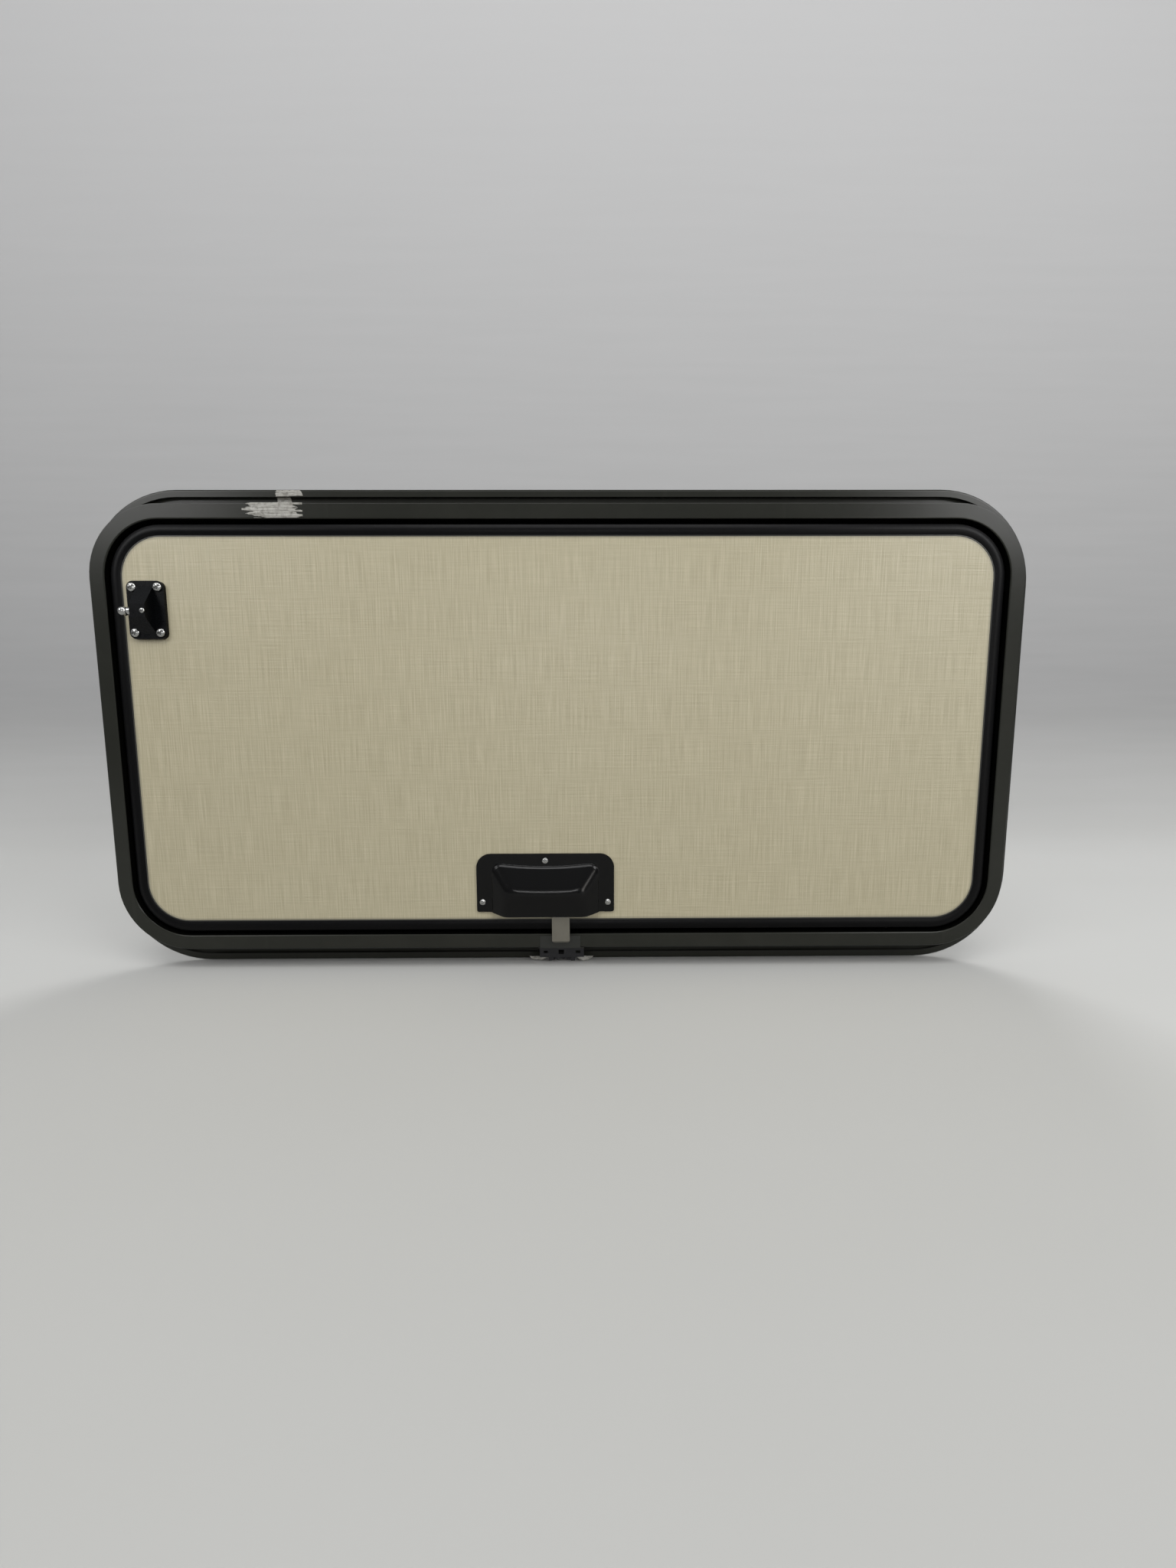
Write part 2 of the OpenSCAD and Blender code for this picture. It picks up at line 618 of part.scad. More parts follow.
// Latch body: base plate on the inner panel, guide rails, a strap and the spring's stop
guide_x = tongue_w / 2 + soft_gap;
guide_t = 2.2;
strap_z = tongue_z + tongue_t + soft_gap;
stop_rise = 38.8;
stop_y = lock_y + stop_rise;
lug_y0 = pivot_y - 3;
lug_y1 = pivot_y + 5;
lug_rise = 2.2;
lug_x = cylinder_at[0] + cam_l + cam_end_r + 0.6;
module lock_body() color([0.62, 0.62, 0.6]) upright() difference() {
    right = tongue_x + guide_x;
    left = tongue_x - guide_x;
    low_z = body_z - 0.5;
    union() {
        plate(tongue_x - 28, tongue_x + 25, lock_y + 2, stop_y + 2.5, face_z, body_z, 3);
        block(right, right + guide_t, lock_y + 2.5, stop_y, low_z, strap_z);
        block(left - guide_t, left, lock_y + 2.5, lug_y0 - 1, low_z, strap_z);
        block(left - guide_t, left, lug_y1 + travel + 1, stop_y, low_z, strap_z);
        block(left - guide_t, right + guide_t, lock_y + 3, lock_y + 10, strap_z, strap_z + 1.6);
        block(left - guide_t, right + guide_t, stop_y - 0.5, stop_y + 2, low_z, strap_z);
    }
    plate(tongue_x - 9, tongue_x + 9, pivot_y - 5, pivot_y + travel + 5, face_z - over, body_z + over, 2);
    holes(body_screw_at, screw_r + hole_gap, face_z - over, body_z + over);
}

module lock_body_screws() color([0.75, 0.75, 0.75]) upright()
    for (p = body_screw_at) translate(p) pan_screw(body_z, pan_r, pan_h, screw_r, body_z - bowl_z + 1);

// Tongue: flat bar with a bevelled nose, a slot for the paddle's knob and a lug for the key's cam
tongue_y0 = bottom_y - tongue_lap;
tongue_y1 = pivot_y + 6;
nose_r = 3.5;
knob_slot_w = 14.8;
module lock_tongue() color([0.62, 0.61, 0.57]) upright() difference() {
    union() {
        translate([tongue_x, 0, tongue_z]) linear_extrude(tongue_t) {
            translate([-tongue_w / 2, tongue_y0 + nose_r]) square([tongue_w, tongue_y1 - tongue_y0 - nose_r]);
            translate([-tongue_w / 2 + nose_r, tongue_y0]) square([tongue_w - 2 * nose_r, nose_r + 0.1]);
            for (sx = [-1, 1]) translate([sx * (tongue_w / 2 - nose_r), tongue_y0 + nose_r]) circle(nose_r);
        }
        block(lug_x, tongue_x - tongue_w / 2 + 1, lug_y0, lug_y1,
              tongue_z + lug_rise, tongue_z + tongue_t);
    }
    translate([tongue_x, pivot_y, tongue_z - over])
        linear_extrude(tongue_t + 2 * over) round_rect(knob_slot_w, 2 * (knob_r + 0.45), 0.8);
    along_x(tongue_x - tongue_w, tongue_x + tongue_w)
        polygon([[tongue_y0 - over, tongue_z + tongue_t * 0.45],
                 [tongue_y0 - over, tongue_z + tongue_t + over],
                 [tongue_y0 + 4, tongue_z + tongue_t + over], [tongue_y0 + 2.4, tongue_z + tongue_t],
                 [tongue_y0, tongue_z + tongue_t * 0.45]]);
}

// Compression spring that pushes the tongue out
spring_turns = 5;
spring_r = 1.9;
wire_r = 0.35;
spring_y0 = tongue_y1;
spring_y1 = stop_y - 0.5;
module lock_spring() color([0.7, 0.7, 0.72]) upright() {
    steps = 16;
    sides = 6;
    n = spring_turns * steps;
    y0 = spring_y0 + 0.1 + wire_r;
    rise = (spring_y1 - spring_y0 - 2 * wire_r - 0.2) / n;
    z = tongue_z + tongue_t / 2;
    ring_at = function (i) [for (k = [0:sides - 1])
        let (turn = 360 * i / steps, tilt = 360 * k / sides, r = spring_r + wire_r * cos(tilt))
        [tongue_x + r * cos(turn), y0 + rise * i + wire_r * sin(tilt), z - r * sin(turn)]];
    points = [for (i = [0:n]) each ring_at(i)];
    sides_faces = [for (i = [0:n - 1], k = [0:sides - 1])
        [i * sides + k, i * sides + (k + 1) % sides,
         (i + 1) * sides + (k + 1) % sides, (i + 1) * sides + k]];
    first = [for (k = [sides - 1:-1:0]) k];
    last = [for (k = [0:sides - 1]) n * sides + k];
    polyhedron(points, concat(sides_faces, [first, last]), convexity = 10);
}

// Latch cover: flat flange, raised body with a ridge, hollow behind and open for the tongue
bump_x0 = lock_x - bump_half;
bump_x1 = lock_x + bump_half;
bump_y1 = lock_y + cover_h - 13.2;
ridge_y = lock_y + 27;
cover_z = face_z + cover_t;
module cover_bump(shrink, z0, y0) {
    ball = 5 - shrink;
    ridge_half = bump_half - 21.5 - ball - shrink;
    top = cover_z + bump_h - shrink - ball;
    hull() {
        translate([(bump_x0 + bump_x1) / 2, 0, z0]) linear_extrude(cover_z - z0 + 0.2) union() {
            translate([0, (bump_y1 - shrink + y0) / 2])
                round_rect(bump_x1 - bump_x0 - 2 * shrink, bump_y1 - shrink - y0, 9, $fn = 32);
        }
        for (sx = [-1, 1]) {
            translate([lock_x + sx * ridge_half, ridge_y - ball, top]) sphere(r = ball, $fn = 32);
            translate([lock_x + sx * (ridge_half - 1), y0 - 2.5 + ball, top - 2.5])
                sphere(r = ball, $fn = 32);
        }
    }
}
module lock_cover() color([0.07, 0.07, 0.08]) upright() difference() {
    x0 = lock_x - cover_half;
    x1 = lock_x + cover_half;
    union() {
        difference() {
            plate(x0, x1, lock_y, lock_y + cover_h, face_z, cover_z, 16);
            block(x0 - over, x1 + over, lock_y - over, lock_y + 18, face_z - over, cover_z + over);
        }
        plate(x0, x1, lock_y, lock_y + 30, face_z, cover_z, 2.5);
        cover_bump(0, face_z, lock_y);
    }
    cover_bump(cover_t, face_z - over, lock_y + cover_t);
    block(bump_x0 + cover_t, bump_x1 - cover_t, lock_y + cover_t, bump_y1 - cover_t,
          face_z - over, cover_z + 0.2);
    block(tongue_x - tongue_w / 2 - 1, tongue_x + tongue_w / 2 + 1, lock_y - 9, lock_y + 6,
          face_z - over, tongue_z + tongue_t + 1);
    holes(cover_screw_at, screw_r + hole_gap, face_z - over, cover_z + over);
}

module cover_screws() color([0.8, 0.8, 0.8]) upright()
    for (p = cover_screw_at) translate(p) pan_screw(cover_z, pan_r, pan_h, screw_r, screw_l);

// Strut stud: moulded plate with a tent-shaped boss that carries a ball facing along the door
stud_x = -opening_w / 2 + stud_inset;
stud_y = top_y - stud_drop;
stud_t = 3.5;
stud_z = face_z + stud_t;
ball_z = face_z + 12;
ball_y = stud_y - 2.8;
ball_out = 9;
stud_bar_r = 2.5;
boss_x0 = stud_x - stud_w / 2 + 11;
boss_x1 = stud_x + stud_w / 2 - 11;
boss_half = stud_h / 2 - 5.8;
boss_z = ball_z + 3.8;
stud_screw_pan = 4.6;
stud_rivet_at = [boss_x1 - 4, ball_y];
stud_rivet_r = 1.5;
bracket_screw_at = [for (sx = [-1, 1], sy = [-1, 1])
    [stud_x + sx * (stud_w / 2 - 6.2), stud_y + sy * (stud_h / 2 - 6.6)]];
module stud_bracket() color([0.04, 0.04, 0.05]) upright() difference() {
    union() {
        plate(stud_x - stud_w / 2, stud_x + stud_w / 2,
              stud_y - stud_h / 2, stud_y + stud_h / 2, face_z, stud_z, 7);
        hull() {
            block(boss_x0, boss_x1, stud_y - boss_half, stud_y + boss_half, stud_z - 0.5, stud_z);
            block(boss_x0, boss_x1 - 1.2, ball_y - 7, ball_y + 7, stud_z, boss_z);
        }
    }
    bar_x(boss_x0 - over, stud_rivet_at[0] + 3, ball_y, ball_z, stud_bar_r + hole_gap);
    holes([stud_rivet_at], stud_rivet_r + hole_gap, ball_z + 2, boss_z + over);
    holes(bracket_screw_at, screw_r + hole_gap, face_z - over, stud_z + 20);
}

module bracket_screws() color([0.85, 0.85, 0.85]) upright()
    for (p = bracket_screw_at) translate(p) pan_screw(stud_z, stud_screw_pan, 2.8, screw_r, screw_l + 1);

// Ball, collar and bar turned in one piece
module ball_stud() color([0.85, 0.85, 0.85]) upright()
    translate([boss_x0 - ball_out, ball_y, ball_z]) rotate([0, 90, 0]) {
        sphere(d = ball_d);
        cylinder(r = stud_bar_r, h = stud_rivet_at[0] + 2.5 - boss_x0 + ball_out);
        translate([0, 0, ball_out - 3]) cylinder(r = stud_bar_r + 1.8, h = 3);
    }

module stud_rivet() color([0.8, 0.8, 0.8]) upright()
    translate([stud_rivet_at[0], stud_rivet_at[1], 0])
        pan_screw(boss_z, stud_rivet_r + 1.2, 1.5, stud_rivet_r, boss_z - ball_z - stud_bar_r - fit);

frame_ring();
frame_joint_cleat();
joint_sealant();
frame_seal();
striker_clip();
frame_hinge_rail();
frame_rail_rivets();
hinge_end_caps();
leaf_edge_frame();
leaf_rubber_strip();
leaf_core();
leaf_outer_skin();
leaf_inner_panel();
leaf_hinge_rail();
leaf_rail_rivets();
lock_dish();
dish_gasket();
paddle_pin();
lock_cylinder();
cylinder_nut();
lock_body();
lock_body_screws();
lock_spring();
lock_cover();
cover_screws();
stud_bracket();
bracket_screws();
ball_stud();
stud_rivet();
lock_paddle();
lock_tongue();
key_plug();
key_cam();
cam_screw();
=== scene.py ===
# %% [markdown]
# # A caravan service door
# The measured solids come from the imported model, which is loaded first and never moved. This lesson
# puts the finishes on them, makes anew the few pieces whose surface a solid cannot give, and lights
# the door the way it was photographed: standing on a pale floor, seen from inside the locker.

import math
import random

import bmesh
import bpy
from mathutils import Matrix, Vector


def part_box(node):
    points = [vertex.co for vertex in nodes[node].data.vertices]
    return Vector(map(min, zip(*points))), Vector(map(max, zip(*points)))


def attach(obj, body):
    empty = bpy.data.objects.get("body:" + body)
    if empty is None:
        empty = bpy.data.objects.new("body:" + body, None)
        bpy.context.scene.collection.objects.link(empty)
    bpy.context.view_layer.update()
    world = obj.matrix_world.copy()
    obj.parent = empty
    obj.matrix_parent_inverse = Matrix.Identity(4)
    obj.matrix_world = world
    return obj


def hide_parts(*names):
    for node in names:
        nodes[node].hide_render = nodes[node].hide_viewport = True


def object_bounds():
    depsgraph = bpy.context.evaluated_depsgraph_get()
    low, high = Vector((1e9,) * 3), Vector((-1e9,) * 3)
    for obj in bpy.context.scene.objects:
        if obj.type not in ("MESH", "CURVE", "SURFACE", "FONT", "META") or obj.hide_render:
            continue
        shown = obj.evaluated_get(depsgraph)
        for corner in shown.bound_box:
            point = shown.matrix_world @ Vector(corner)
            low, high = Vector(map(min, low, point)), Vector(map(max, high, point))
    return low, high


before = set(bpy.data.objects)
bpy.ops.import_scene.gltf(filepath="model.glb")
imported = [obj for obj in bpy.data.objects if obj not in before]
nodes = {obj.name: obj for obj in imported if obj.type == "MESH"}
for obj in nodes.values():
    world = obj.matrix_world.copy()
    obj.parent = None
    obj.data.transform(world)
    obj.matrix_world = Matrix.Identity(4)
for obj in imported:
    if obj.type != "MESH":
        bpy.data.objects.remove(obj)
cad_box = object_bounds()
print("loaded", len(nodes), "nodes; the door spans", [round(b - a, 4) for a, b in zip(*cad_box)], "m")

# %% [markdown]
# ## The camera
# A photograph fixes a camera completely once enough straight edges are measured in it. The door's
# four sides, its corner arcs and the two depths of its frame gave the focal length, the place and
# the tilt used here. The lens is a wide one held close, so the far corners spread outwards.

# %% Camera
LENS_MM = 12.69
SENSOR_MM = 36
CAMERA_AT = Vector((0.0258, -0.6411, 0.0096))
CAMERA_BACK = Vector((-0.0061, -0.9944, 0.1053)).normalized()
CAMERA_RIGHT = Vector((1.0, -0.0065, -0.0028))


def look_through(place, back, right):
    """A camera whose three axes are given, in the door's own frame."""
    across = (right - right.dot(back) * back).normalized()
    up = back.cross(across)
    data = bpy.data.cameras.new("camera")
    data.lens, data.sensor_width = LENS_MM, SENSOR_MM
    data.clip_start, data.clip_end = 0.01, 30
    camera = bpy.data.objects.new("camera", data)
    camera.matrix_world = Matrix.Translation(place) @ Matrix((across, up, back)).transposed().to_4x4()
    bpy.context.scene.collection.objects.link(camera)
    return camera


bpy.context.scene.camera = look_through(CAMERA_AT, CAMERA_BACK, CAMERA_RIGHT)
print("camera", round((CAMERA_AT - Vector((0, -0.031, 0))).length * 1000), "mm from the door's middle")

# %% [markdown]
# ## Floor and backdrop
# The door stands on a pale sheet that sweeps up behind it. The sweep is one bent strip with a large
# radius, so that no hard line crosses the picture. It stands far enough back for the leaf to swing.
# Seen from behind, the strip has to vanish, which the Backfacing output of the Geometry node gives,
# and it only shows itself to the camera, so lamps behind it still reach the door's outer side.

# %% Sweep
SWEEP_W, SWEEP_FRONT, SWEEP_BACK = 16.0, -6.0, 0.66
SWEEP_TOP, SWEEP_R = 4.5, 0.3
FLOOR_Z = cad_box[0].z - 0.0004


def sweep_profile(steps=24):
    """Points of the strip's edge, from the front of the floor to the top of the backdrop."""
    turn = [(SWEEP_BACK - SWEEP_R + SWEEP_R * math.sin(a), FLOOR_Z + SWEEP_R - SWEEP_R * math.cos(a))
            for a in (math.pi / 2 * i / steps for i in range(steps + 1))]
    return [(SWEEP_FRONT, FLOOR_Z)] + turn + [(SWEEP_BACK, SWEEP_TOP)]


def lay_sweep():
    mesh = bpy.data.meshes.new("sweep")
    profile = sweep_profile()
    points = [(x, y, z) for y, z in profile for x in (-SWEEP_W / 2, SWEEP_W / 2)]
    faces = [(2 * i, 2 * i + 1, 2 * i + 3, 2 * i + 2) for i in range(len(profile) - 1)]
    mesh.from_pydata(points, [], faces)
    mesh.polygons.foreach_set("use_smooth", [True] * len(faces))
    sweep = bpy.data.objects.new("sweep", mesh)
    bpy.context.scene.collection.objects.link(sweep)
    return sweep


sweep = lay_sweep()
print("floor at", round(FLOOR_Z, 4), "m; backdrop", SWEEP_BACK, "m behind the wall's skin")

# %% [markdown]
# ## Small helpers for finishes
# Every finish is a node tree ending in one Principled shader. Three short helpers keep the trees
# readable: one starts a finish, one adds a node with its settings, and one joins two sockets.

# %% Material helpers
def srgb(r, g, b):
    """A screen colour, 0 to 255, as the linear values that a shader takes."""
    return tuple(((c / 255 + 0.055) / 1.055) ** 2.4 if c > 10 else c / 255 / 12.92 for c in (r, g, b)) + (1.0,)


def start_finish(name, colour, roughness, metallic=0.0, **sockets):
    """A new material with its Principled shader set, and that shader."""
    material = bpy.data.materials.new(name)
    material.use_nodes = True
    shader = material.node_tree.nodes["Principled BSDF"]
    shader.inputs["Base Color"].default_value = colour
    shader.inputs["Roughness"].default_value = roughness
    shader.inputs["Metallic"].default_value = metallic
    for socket, value in sockets.items():
        shader.inputs[socket.replace("_", " ")].default_value = value
    return material, shader


def add(tree, kind, inputs=None, **settings):
    node = tree.nodes.new(kind)
    for key, value in settings.items():
        setattr(node, key, value)
    for key, value in (inputs or {}).items():
        node.inputs[key].default_value = value
    return node


def join(tree, *pairs):
    for output, socket in pairs:
        tree.links.new(output, socket)


def group_sockets(group, ins, outs):
    """Named inputs (with defaults) and outputs of a shader group, and its two end nodes."""
    for name, value in ins.items():
        kind = "NodeSocketColor" if isinstance(value, tuple) and len(value) == 4 else (
            "NodeSocketVector" if isinstance(value, tuple) else "NodeSocketFloat")
        socket = group.interface.new_socket(name, in_out="INPUT", socket_type=kind)
        socket.default_value = value
    for name, kind in outs.items():
        group.interface.new_socket(name, in_out="OUTPUT", socket_type=kind)
    return group.nodes.new("NodeGroupInput"), group.nodes.new("NodeGroupOutput")


def place_group(tree, group, inputs):
    """Puts a shader group into a tree, on the piece's own coordinates, with its own values."""
    where = add(tree, "ShaderNodeTexCoord")
    node = add(tree, "ShaderNodeGroup", node_tree=group)
    join(tree, (where.outputs["Object"], node.inputs["Place"]))
    for name, value in inputs.items():
        node.inputs[name].default_value = value
    return node


def bumped(tree, shader, height, distance, strength=1.0):
    """Feeds a height into the shader's normal."""
    bump = add(tree, "ShaderNodeBump", {"Distance": distance, "Strength": strength})
    join(tree, (height, bump.inputs["Height"]), (bump.outputs["Normal"], shader.inputs["Normal"]))
    return bump


def cover_with(material, *names):
    """Every slot of these CAD nodes shows this material."""
    for name in names:
        mesh = nodes[name].data
        if not mesh.materials:
            mesh.materials.append(material)
        for i in range(len(mesh.materials)):
            mesh.materials[i] = material


print("helpers ready")

# %% [markdown]
# ## Effects that several finishes share
# *Grain* is the fine orange-peel or moulded grain of a surface: two noises of different size, with a
# height for the bump and a mask for colour and gloss. *Handling* is what use leaves behind: faint
# smudges, dust and a few light scratches. Both are groups, so each finish can set its own values.

# %% Grain group
def make_grain():
    group = bpy.data.node_groups.new("Grain", "ShaderNodeTree")
    start, end = group_sockets(
        group, {"Place": (0.0, 0.0, 0.0), "Size": 900.0, "Coarse": 0.25, "Stretch": (1.0, 1.0, 1.0)},
        {"Height": "NodeSocketFloat", "Mask": "NodeSocketFloat"})
    drawn = add(group, "ShaderNodeVectorMath", operation="MULTIPLY")
    fine = add(group, "ShaderNodeTexNoise", {"Detail": 3.0, "Roughness": 0.6})
    coarse_size = add(group, "ShaderNodeMath", operation="MULTIPLY")
    coarse = add(group, "ShaderNodeTexNoise", {"Detail": 2.0, "Roughness": 0.5})
    both = add(group, "ShaderNodeMix", {"Factor": 0.35}, data_type="FLOAT")
    join(group, (start.outputs["Place"], drawn.inputs[0]), (start.outputs["Stretch"], drawn.inputs[1]),
         (drawn.outputs[0], fine.inputs["Vector"]), (drawn.outputs[0], coarse.inputs["Vector"]),
         (start.outputs["Size"], fine.inputs["Scale"]),
         (start.outputs["Size"], coarse_size.inputs[0]), (start.outputs["Coarse"], coarse_size.inputs[1]),
         (coarse_size.outputs[0], coarse.inputs["Scale"]),
         (fine.outputs["Fac"], both.inputs["A"]), (coarse.outputs["Fac"], both.inputs["B"]),
         (both.outputs["Result"], end.inputs["Height"]), (coarse.outputs["Fac"], end.inputs["Mask"]))
    return group


grain = make_grain()

# %% Handling group
def make_handling():
    group = bpy.data.node_groups.new("Handling", "ShaderNodeTree")
    start, end = group_sockets(
        group, {"Place": (0.0, 0.0, 0.0), "Smudge Size": 14.0, "Smudge": 0.5, "Scratch Size": 60.0, "Scratch": 0.5},
        {"Smudges": "NodeSocketFloat", "Scratches": "NodeSocketFloat", "Dust": "NodeSocketFloat"})
    smudge = add(group, "ShaderNodeTexNoise", {"Detail": 5.0, "Roughness": 0.62, "Distortion": 0.4})
    smudge_edge = add(group, "ShaderNodeMapRange", {"From Min": 0.46, "From Max": 0.72})
    smudge_level = add(group, "ShaderNodeMath", operation="MULTIPLY")
    turned = add(group, "ShaderNodeMapping", {"Rotation": (0.5, 0.35, 0.8), "Scale": (1.0, 1.0, 0.05)})
    scratch = add(group, "ShaderNodeTexNoise", {"Detail": 2.0, "Roughness": 0.5, "Distortion": 0.15})
    scratch_edge = add(group, "ShaderNodeMapRange", {"From Min": 0.69, "From Max": 0.74})
    scratch_level = add(group, "ShaderNodeMath", operation="MULTIPLY")
    speck = add(group, "ShaderNodeTexNoise", {"Scale": 1400.0, "Detail": 1.0})
    speck_edge = add(group, "ShaderNodeMapRange", {"From Min": 0.66, "From Max": 0.74})
    join(group, (start.outputs["Place"], smudge.inputs["Vector"]), (start.outputs["Place"], turned.inputs["Vector"]),
         (start.outputs["Place"], speck.inputs["Vector"]), (turned.outputs[0], scratch.inputs["Vector"]),
         (start.outputs["Smudge Size"], smudge.inputs["Scale"]), (start.outputs["Scratch Size"], scratch.inputs["Scale"]),
         (smudge.outputs["Fac"], smudge_edge.inputs["Value"]), (smudge_edge.outputs[0], smudge_level.inputs[0]),
         (start.outputs["Smudge"], smudge_level.inputs[1]), (smudge_level.outputs[0], end.inputs["Smudges"]),
         (scratch.outputs["Fac"], scratch_edge.inputs["Value"]), (scratch_edge.outputs[0], scratch_level.inputs[0]),
         (start.outputs["Scratch"], scratch_level.inputs[1]), (scratch_level.outputs[0], end.inputs["Scratches"]),
         (speck.outputs["Fac"], speck_edge.inputs["Value"]), (speck_edge.outputs[0], end.inputs["Dust"]))
    return group


handling = make_handling()


# %% Ring distance group
def make_ring_distance():
    """How far a place lies outside (or, below zero, inside) the rounded outline of the opening."""
    group = bpy.data.node_groups.new("Ring distance", "ShaderNodeTree")
    start, end = group_sockets(
        group, {"Place": (0.0, 0.0, 0.0), "Straight X": 0.423, "Straight Z": 0.166, "Corner": 0.061},
        {"Distance": "NodeSocketFloat", "Depth": "NodeSocketFloat"})
    parts = add(group, "ShaderNodeSeparateXYZ")
    join(group, (start.outputs["Place"], parts.inputs[0]), (parts.outputs["Y"], end.inputs["Depth"]))
    reach = []
    for axis, straight in (("X", "Straight X"), ("Z", "Straight Z")):
        size = add(group, "ShaderNodeMath", operation="ABSOLUTE")
        past = add(group, "ShaderNodeMath", operation="SUBTRACT")
        beyond = add(group, "ShaderNodeMath", {1: 0.0}, operation="MAXIMUM")
        square = add(group, "ShaderNodeMath", {1: 2.0}, operation="POWER")
        join(group, (parts.outputs[axis], size.inputs[0]), (size.outputs[0], past.inputs[0]),
             (start.outputs[straight], past.inputs[1]), (past.outputs[0], beyond.inputs[0]),
             (beyond.outputs[0], square.inputs[0]))
        reach.append(square.outputs[0])
    total = add(group, "ShaderNodeMath", operation="ADD")
    root = add(group, "ShaderNodeMath", operation="SQRT")
    distance = add(group, "ShaderNodeMath", operation="SUBTRACT")
    join(group, (reach[0], total.inputs[0]), (reach[1], total.inputs[1]), (total.outputs[0], root.inputs[0]),
         (root.outputs[0], distance.inputs[0]), (start.outputs["Corner"], distance.inputs[1]),
         (distance.outputs[0], end.inputs["Distance"]))
    return group


ring_distance = make_ring_distance()
print("shared effects:", grain.name, handling.name, ring_distance.name)

# %% [markdown]
# ## Worn finish
# Most of the hard pieces are one idea with different values: a base colour that smudges towards a
# second one, a roughness that rises where it was handled, and a grain bump. A function builds them,
# so that each finish below is a short line of numbers that can be read against the photograph.

# %% Worn finish
def worn_finish(name, colour, second, roughness, metallic=0.0, grain_size=900.0, grain_depth=0.00004,
                stretch=(1.0, 1.0, 1.0), smudge=0.5, scratch=0.3, smudge_size=14.0, rougher=0.15, **sockets):
    material, shader = start_finish(name, colour, roughness, metallic, **sockets)
    tree = material.node_tree
    peel = place_group(tree, grain, {"Size": grain_size, "Stretch": stretch})
    use = place_group(tree, handling, {"Smudge": smudge, "Scratch": scratch, "Smudge Size": smudge_size})
    tint = add(tree, "ShaderNodeMix", {"A": colour, "B": second}, data_type="RGBA")
    marks = add(tree, "ShaderNodeMath", operation="MAXIMUM")
    gloss = add(tree, "ShaderNodeMapRange", {"To Min": roughness, "To Max": min(1.0, roughness + rougher)})
    join(tree, (use.outputs["Smudges"], marks.inputs[0]), (use.outputs["Scratches"], marks.inputs[1]),
         (marks.outputs[0], tint.inputs["Factor"]), (tint.outputs["Result"], shader.inputs["Base Color"]),
         (peel.outputs["Mask"], gloss.inputs["Value"]), (gloss.outputs[0], shader.inputs["Roughness"]))
    bumped(tree, shader, peel.outputs["Height"], grain_depth)
    return material


print("worn finish ready")

# %% Plain hard finishes
def dark_coat(name):
    return worn_finish(name, srgb(34, 35, 30), srgb(43, 43, 38), 0.2, grain_size=1500.0, grain_depth=0.000002,
                       smudge=0.4, scratch=0.3, rougher=0.06, Specular_IOR_Level=0.22)


coat = dark_coat("satin_dark_coat")
raw_aluminium = worn_finish("mill_aluminium", srgb(196, 197, 198), srgb(150, 151, 152), 0.34, metallic=1.0,
                            grain_size=700.0, stretch=(0.02, 1.0, 1.0), grain_depth=0.00002)
white_coat = worn_finish("gloss_white_skin", srgb(226, 226, 222), srgb(206, 206, 200), 0.28, grain_size=300.0,
                         grain_depth=0.00003, smudge=0.35, scratch=0.2, Coat_Weight=0.4, Coat_Roughness=0.12)
foam = worn_finish("pale_foam", srgb(226, 220, 200), srgb(200, 194, 172), 0.9, grain_size=420.0,
                   grain_depth=0.0004, smudge=0.6)
clip_black = worn_finish("clip_black", srgb(24, 24, 27), srgb(40, 40, 42), 0.4, grain_size=1800.0,
                         grain_depth=0.00004, smudge=0.6, scratch=0.4, Specular_IOR_Level=0.4)
moulded_black = worn_finish("moulded_black", srgb(5, 5, 5), srgb(10, 10, 10), 0.15, grain_size=2200.0,
                            grain_depth=0.000002, smudge=0.35, scratch=0.2, rougher=0.05, Specular_IOR_Level=0.2)
gloss_black = worn_finish("gloss_black", srgb(4, 5, 6), srgb(12, 13, 15), 0.2, grain_size=600.0,
                          grain_depth=0.00001, smudge=0.4, scratch=0.3, Specular_IOR_Level=0.12)
rubber = worn_finish("black_rubber", srgb(3, 3, 4), srgb(9, 9, 9), 0.3, grain_size=1100.0,
                     grain_depth=0.00002, smudge=0.4, scratch=0.15, Specular_IOR_Level=0.1)
zinc = worn_finish("passivated_zinc", srgb(122, 119, 110), srgb(92, 90, 82), 0.4, metallic=0.85,
                   grain_size=900.0, stretch=(1.0, 1.0, 0.06), grain_depth=0.00003, smudge=0.7, scratch=0.5)
bright = worn_finish("bright_screw_steel", srgb(164, 164, 162), srgb(108, 108, 106), 0.13, metallic=1.0,
                     grain_size=1600.0, grain_depth=0.00001, smudge=0.5, scratch=0.5)
silicone = worn_finish("cured_sealant", srgb(158, 156, 149), srgb(100, 98, 90), 0.22, grain_size=240.0,
                       grain_depth=0.0006, smudge=1.0, smudge_size=190.0)

cover_with(coat, "frame_ring", "frame_hinge_rail", "leaf_edge_frame", "leaf_hinge_rail", "frame_rail_rivets",
           "leaf_rail_rivets")
cover_with(raw_aluminium, "frame_joint_cleat")
cover_with(white_coat, "leaf_outer_skin")
cover_with(foam, "leaf_core")
cover_with(clip_black, "striker_clip")
cover_with(moulded_black, "hinge_end_caps", "lock_dish", "lock_cover", "lock_paddle")
cover_with(gloss_black, "stud_bracket")
cover_with(rubber, "frame_seal", "leaf_rubber_strip", "dish_gasket")
cover_with(zinc, "paddle_pin", "lock_cylinder", "cylinder_nut", "lock_body", "lock_spring", "lock_tongue",
           "key_plug", "key_cam")
cover_with(bright, "lock_body_screws", "cover_screws", "bracket_screws", "ball_stud", "stud_rivet", "cam_screw")
cover_with(silicone, "joint_sealant")
print("finishes on the hard pieces:", len(bpy.data.materials))

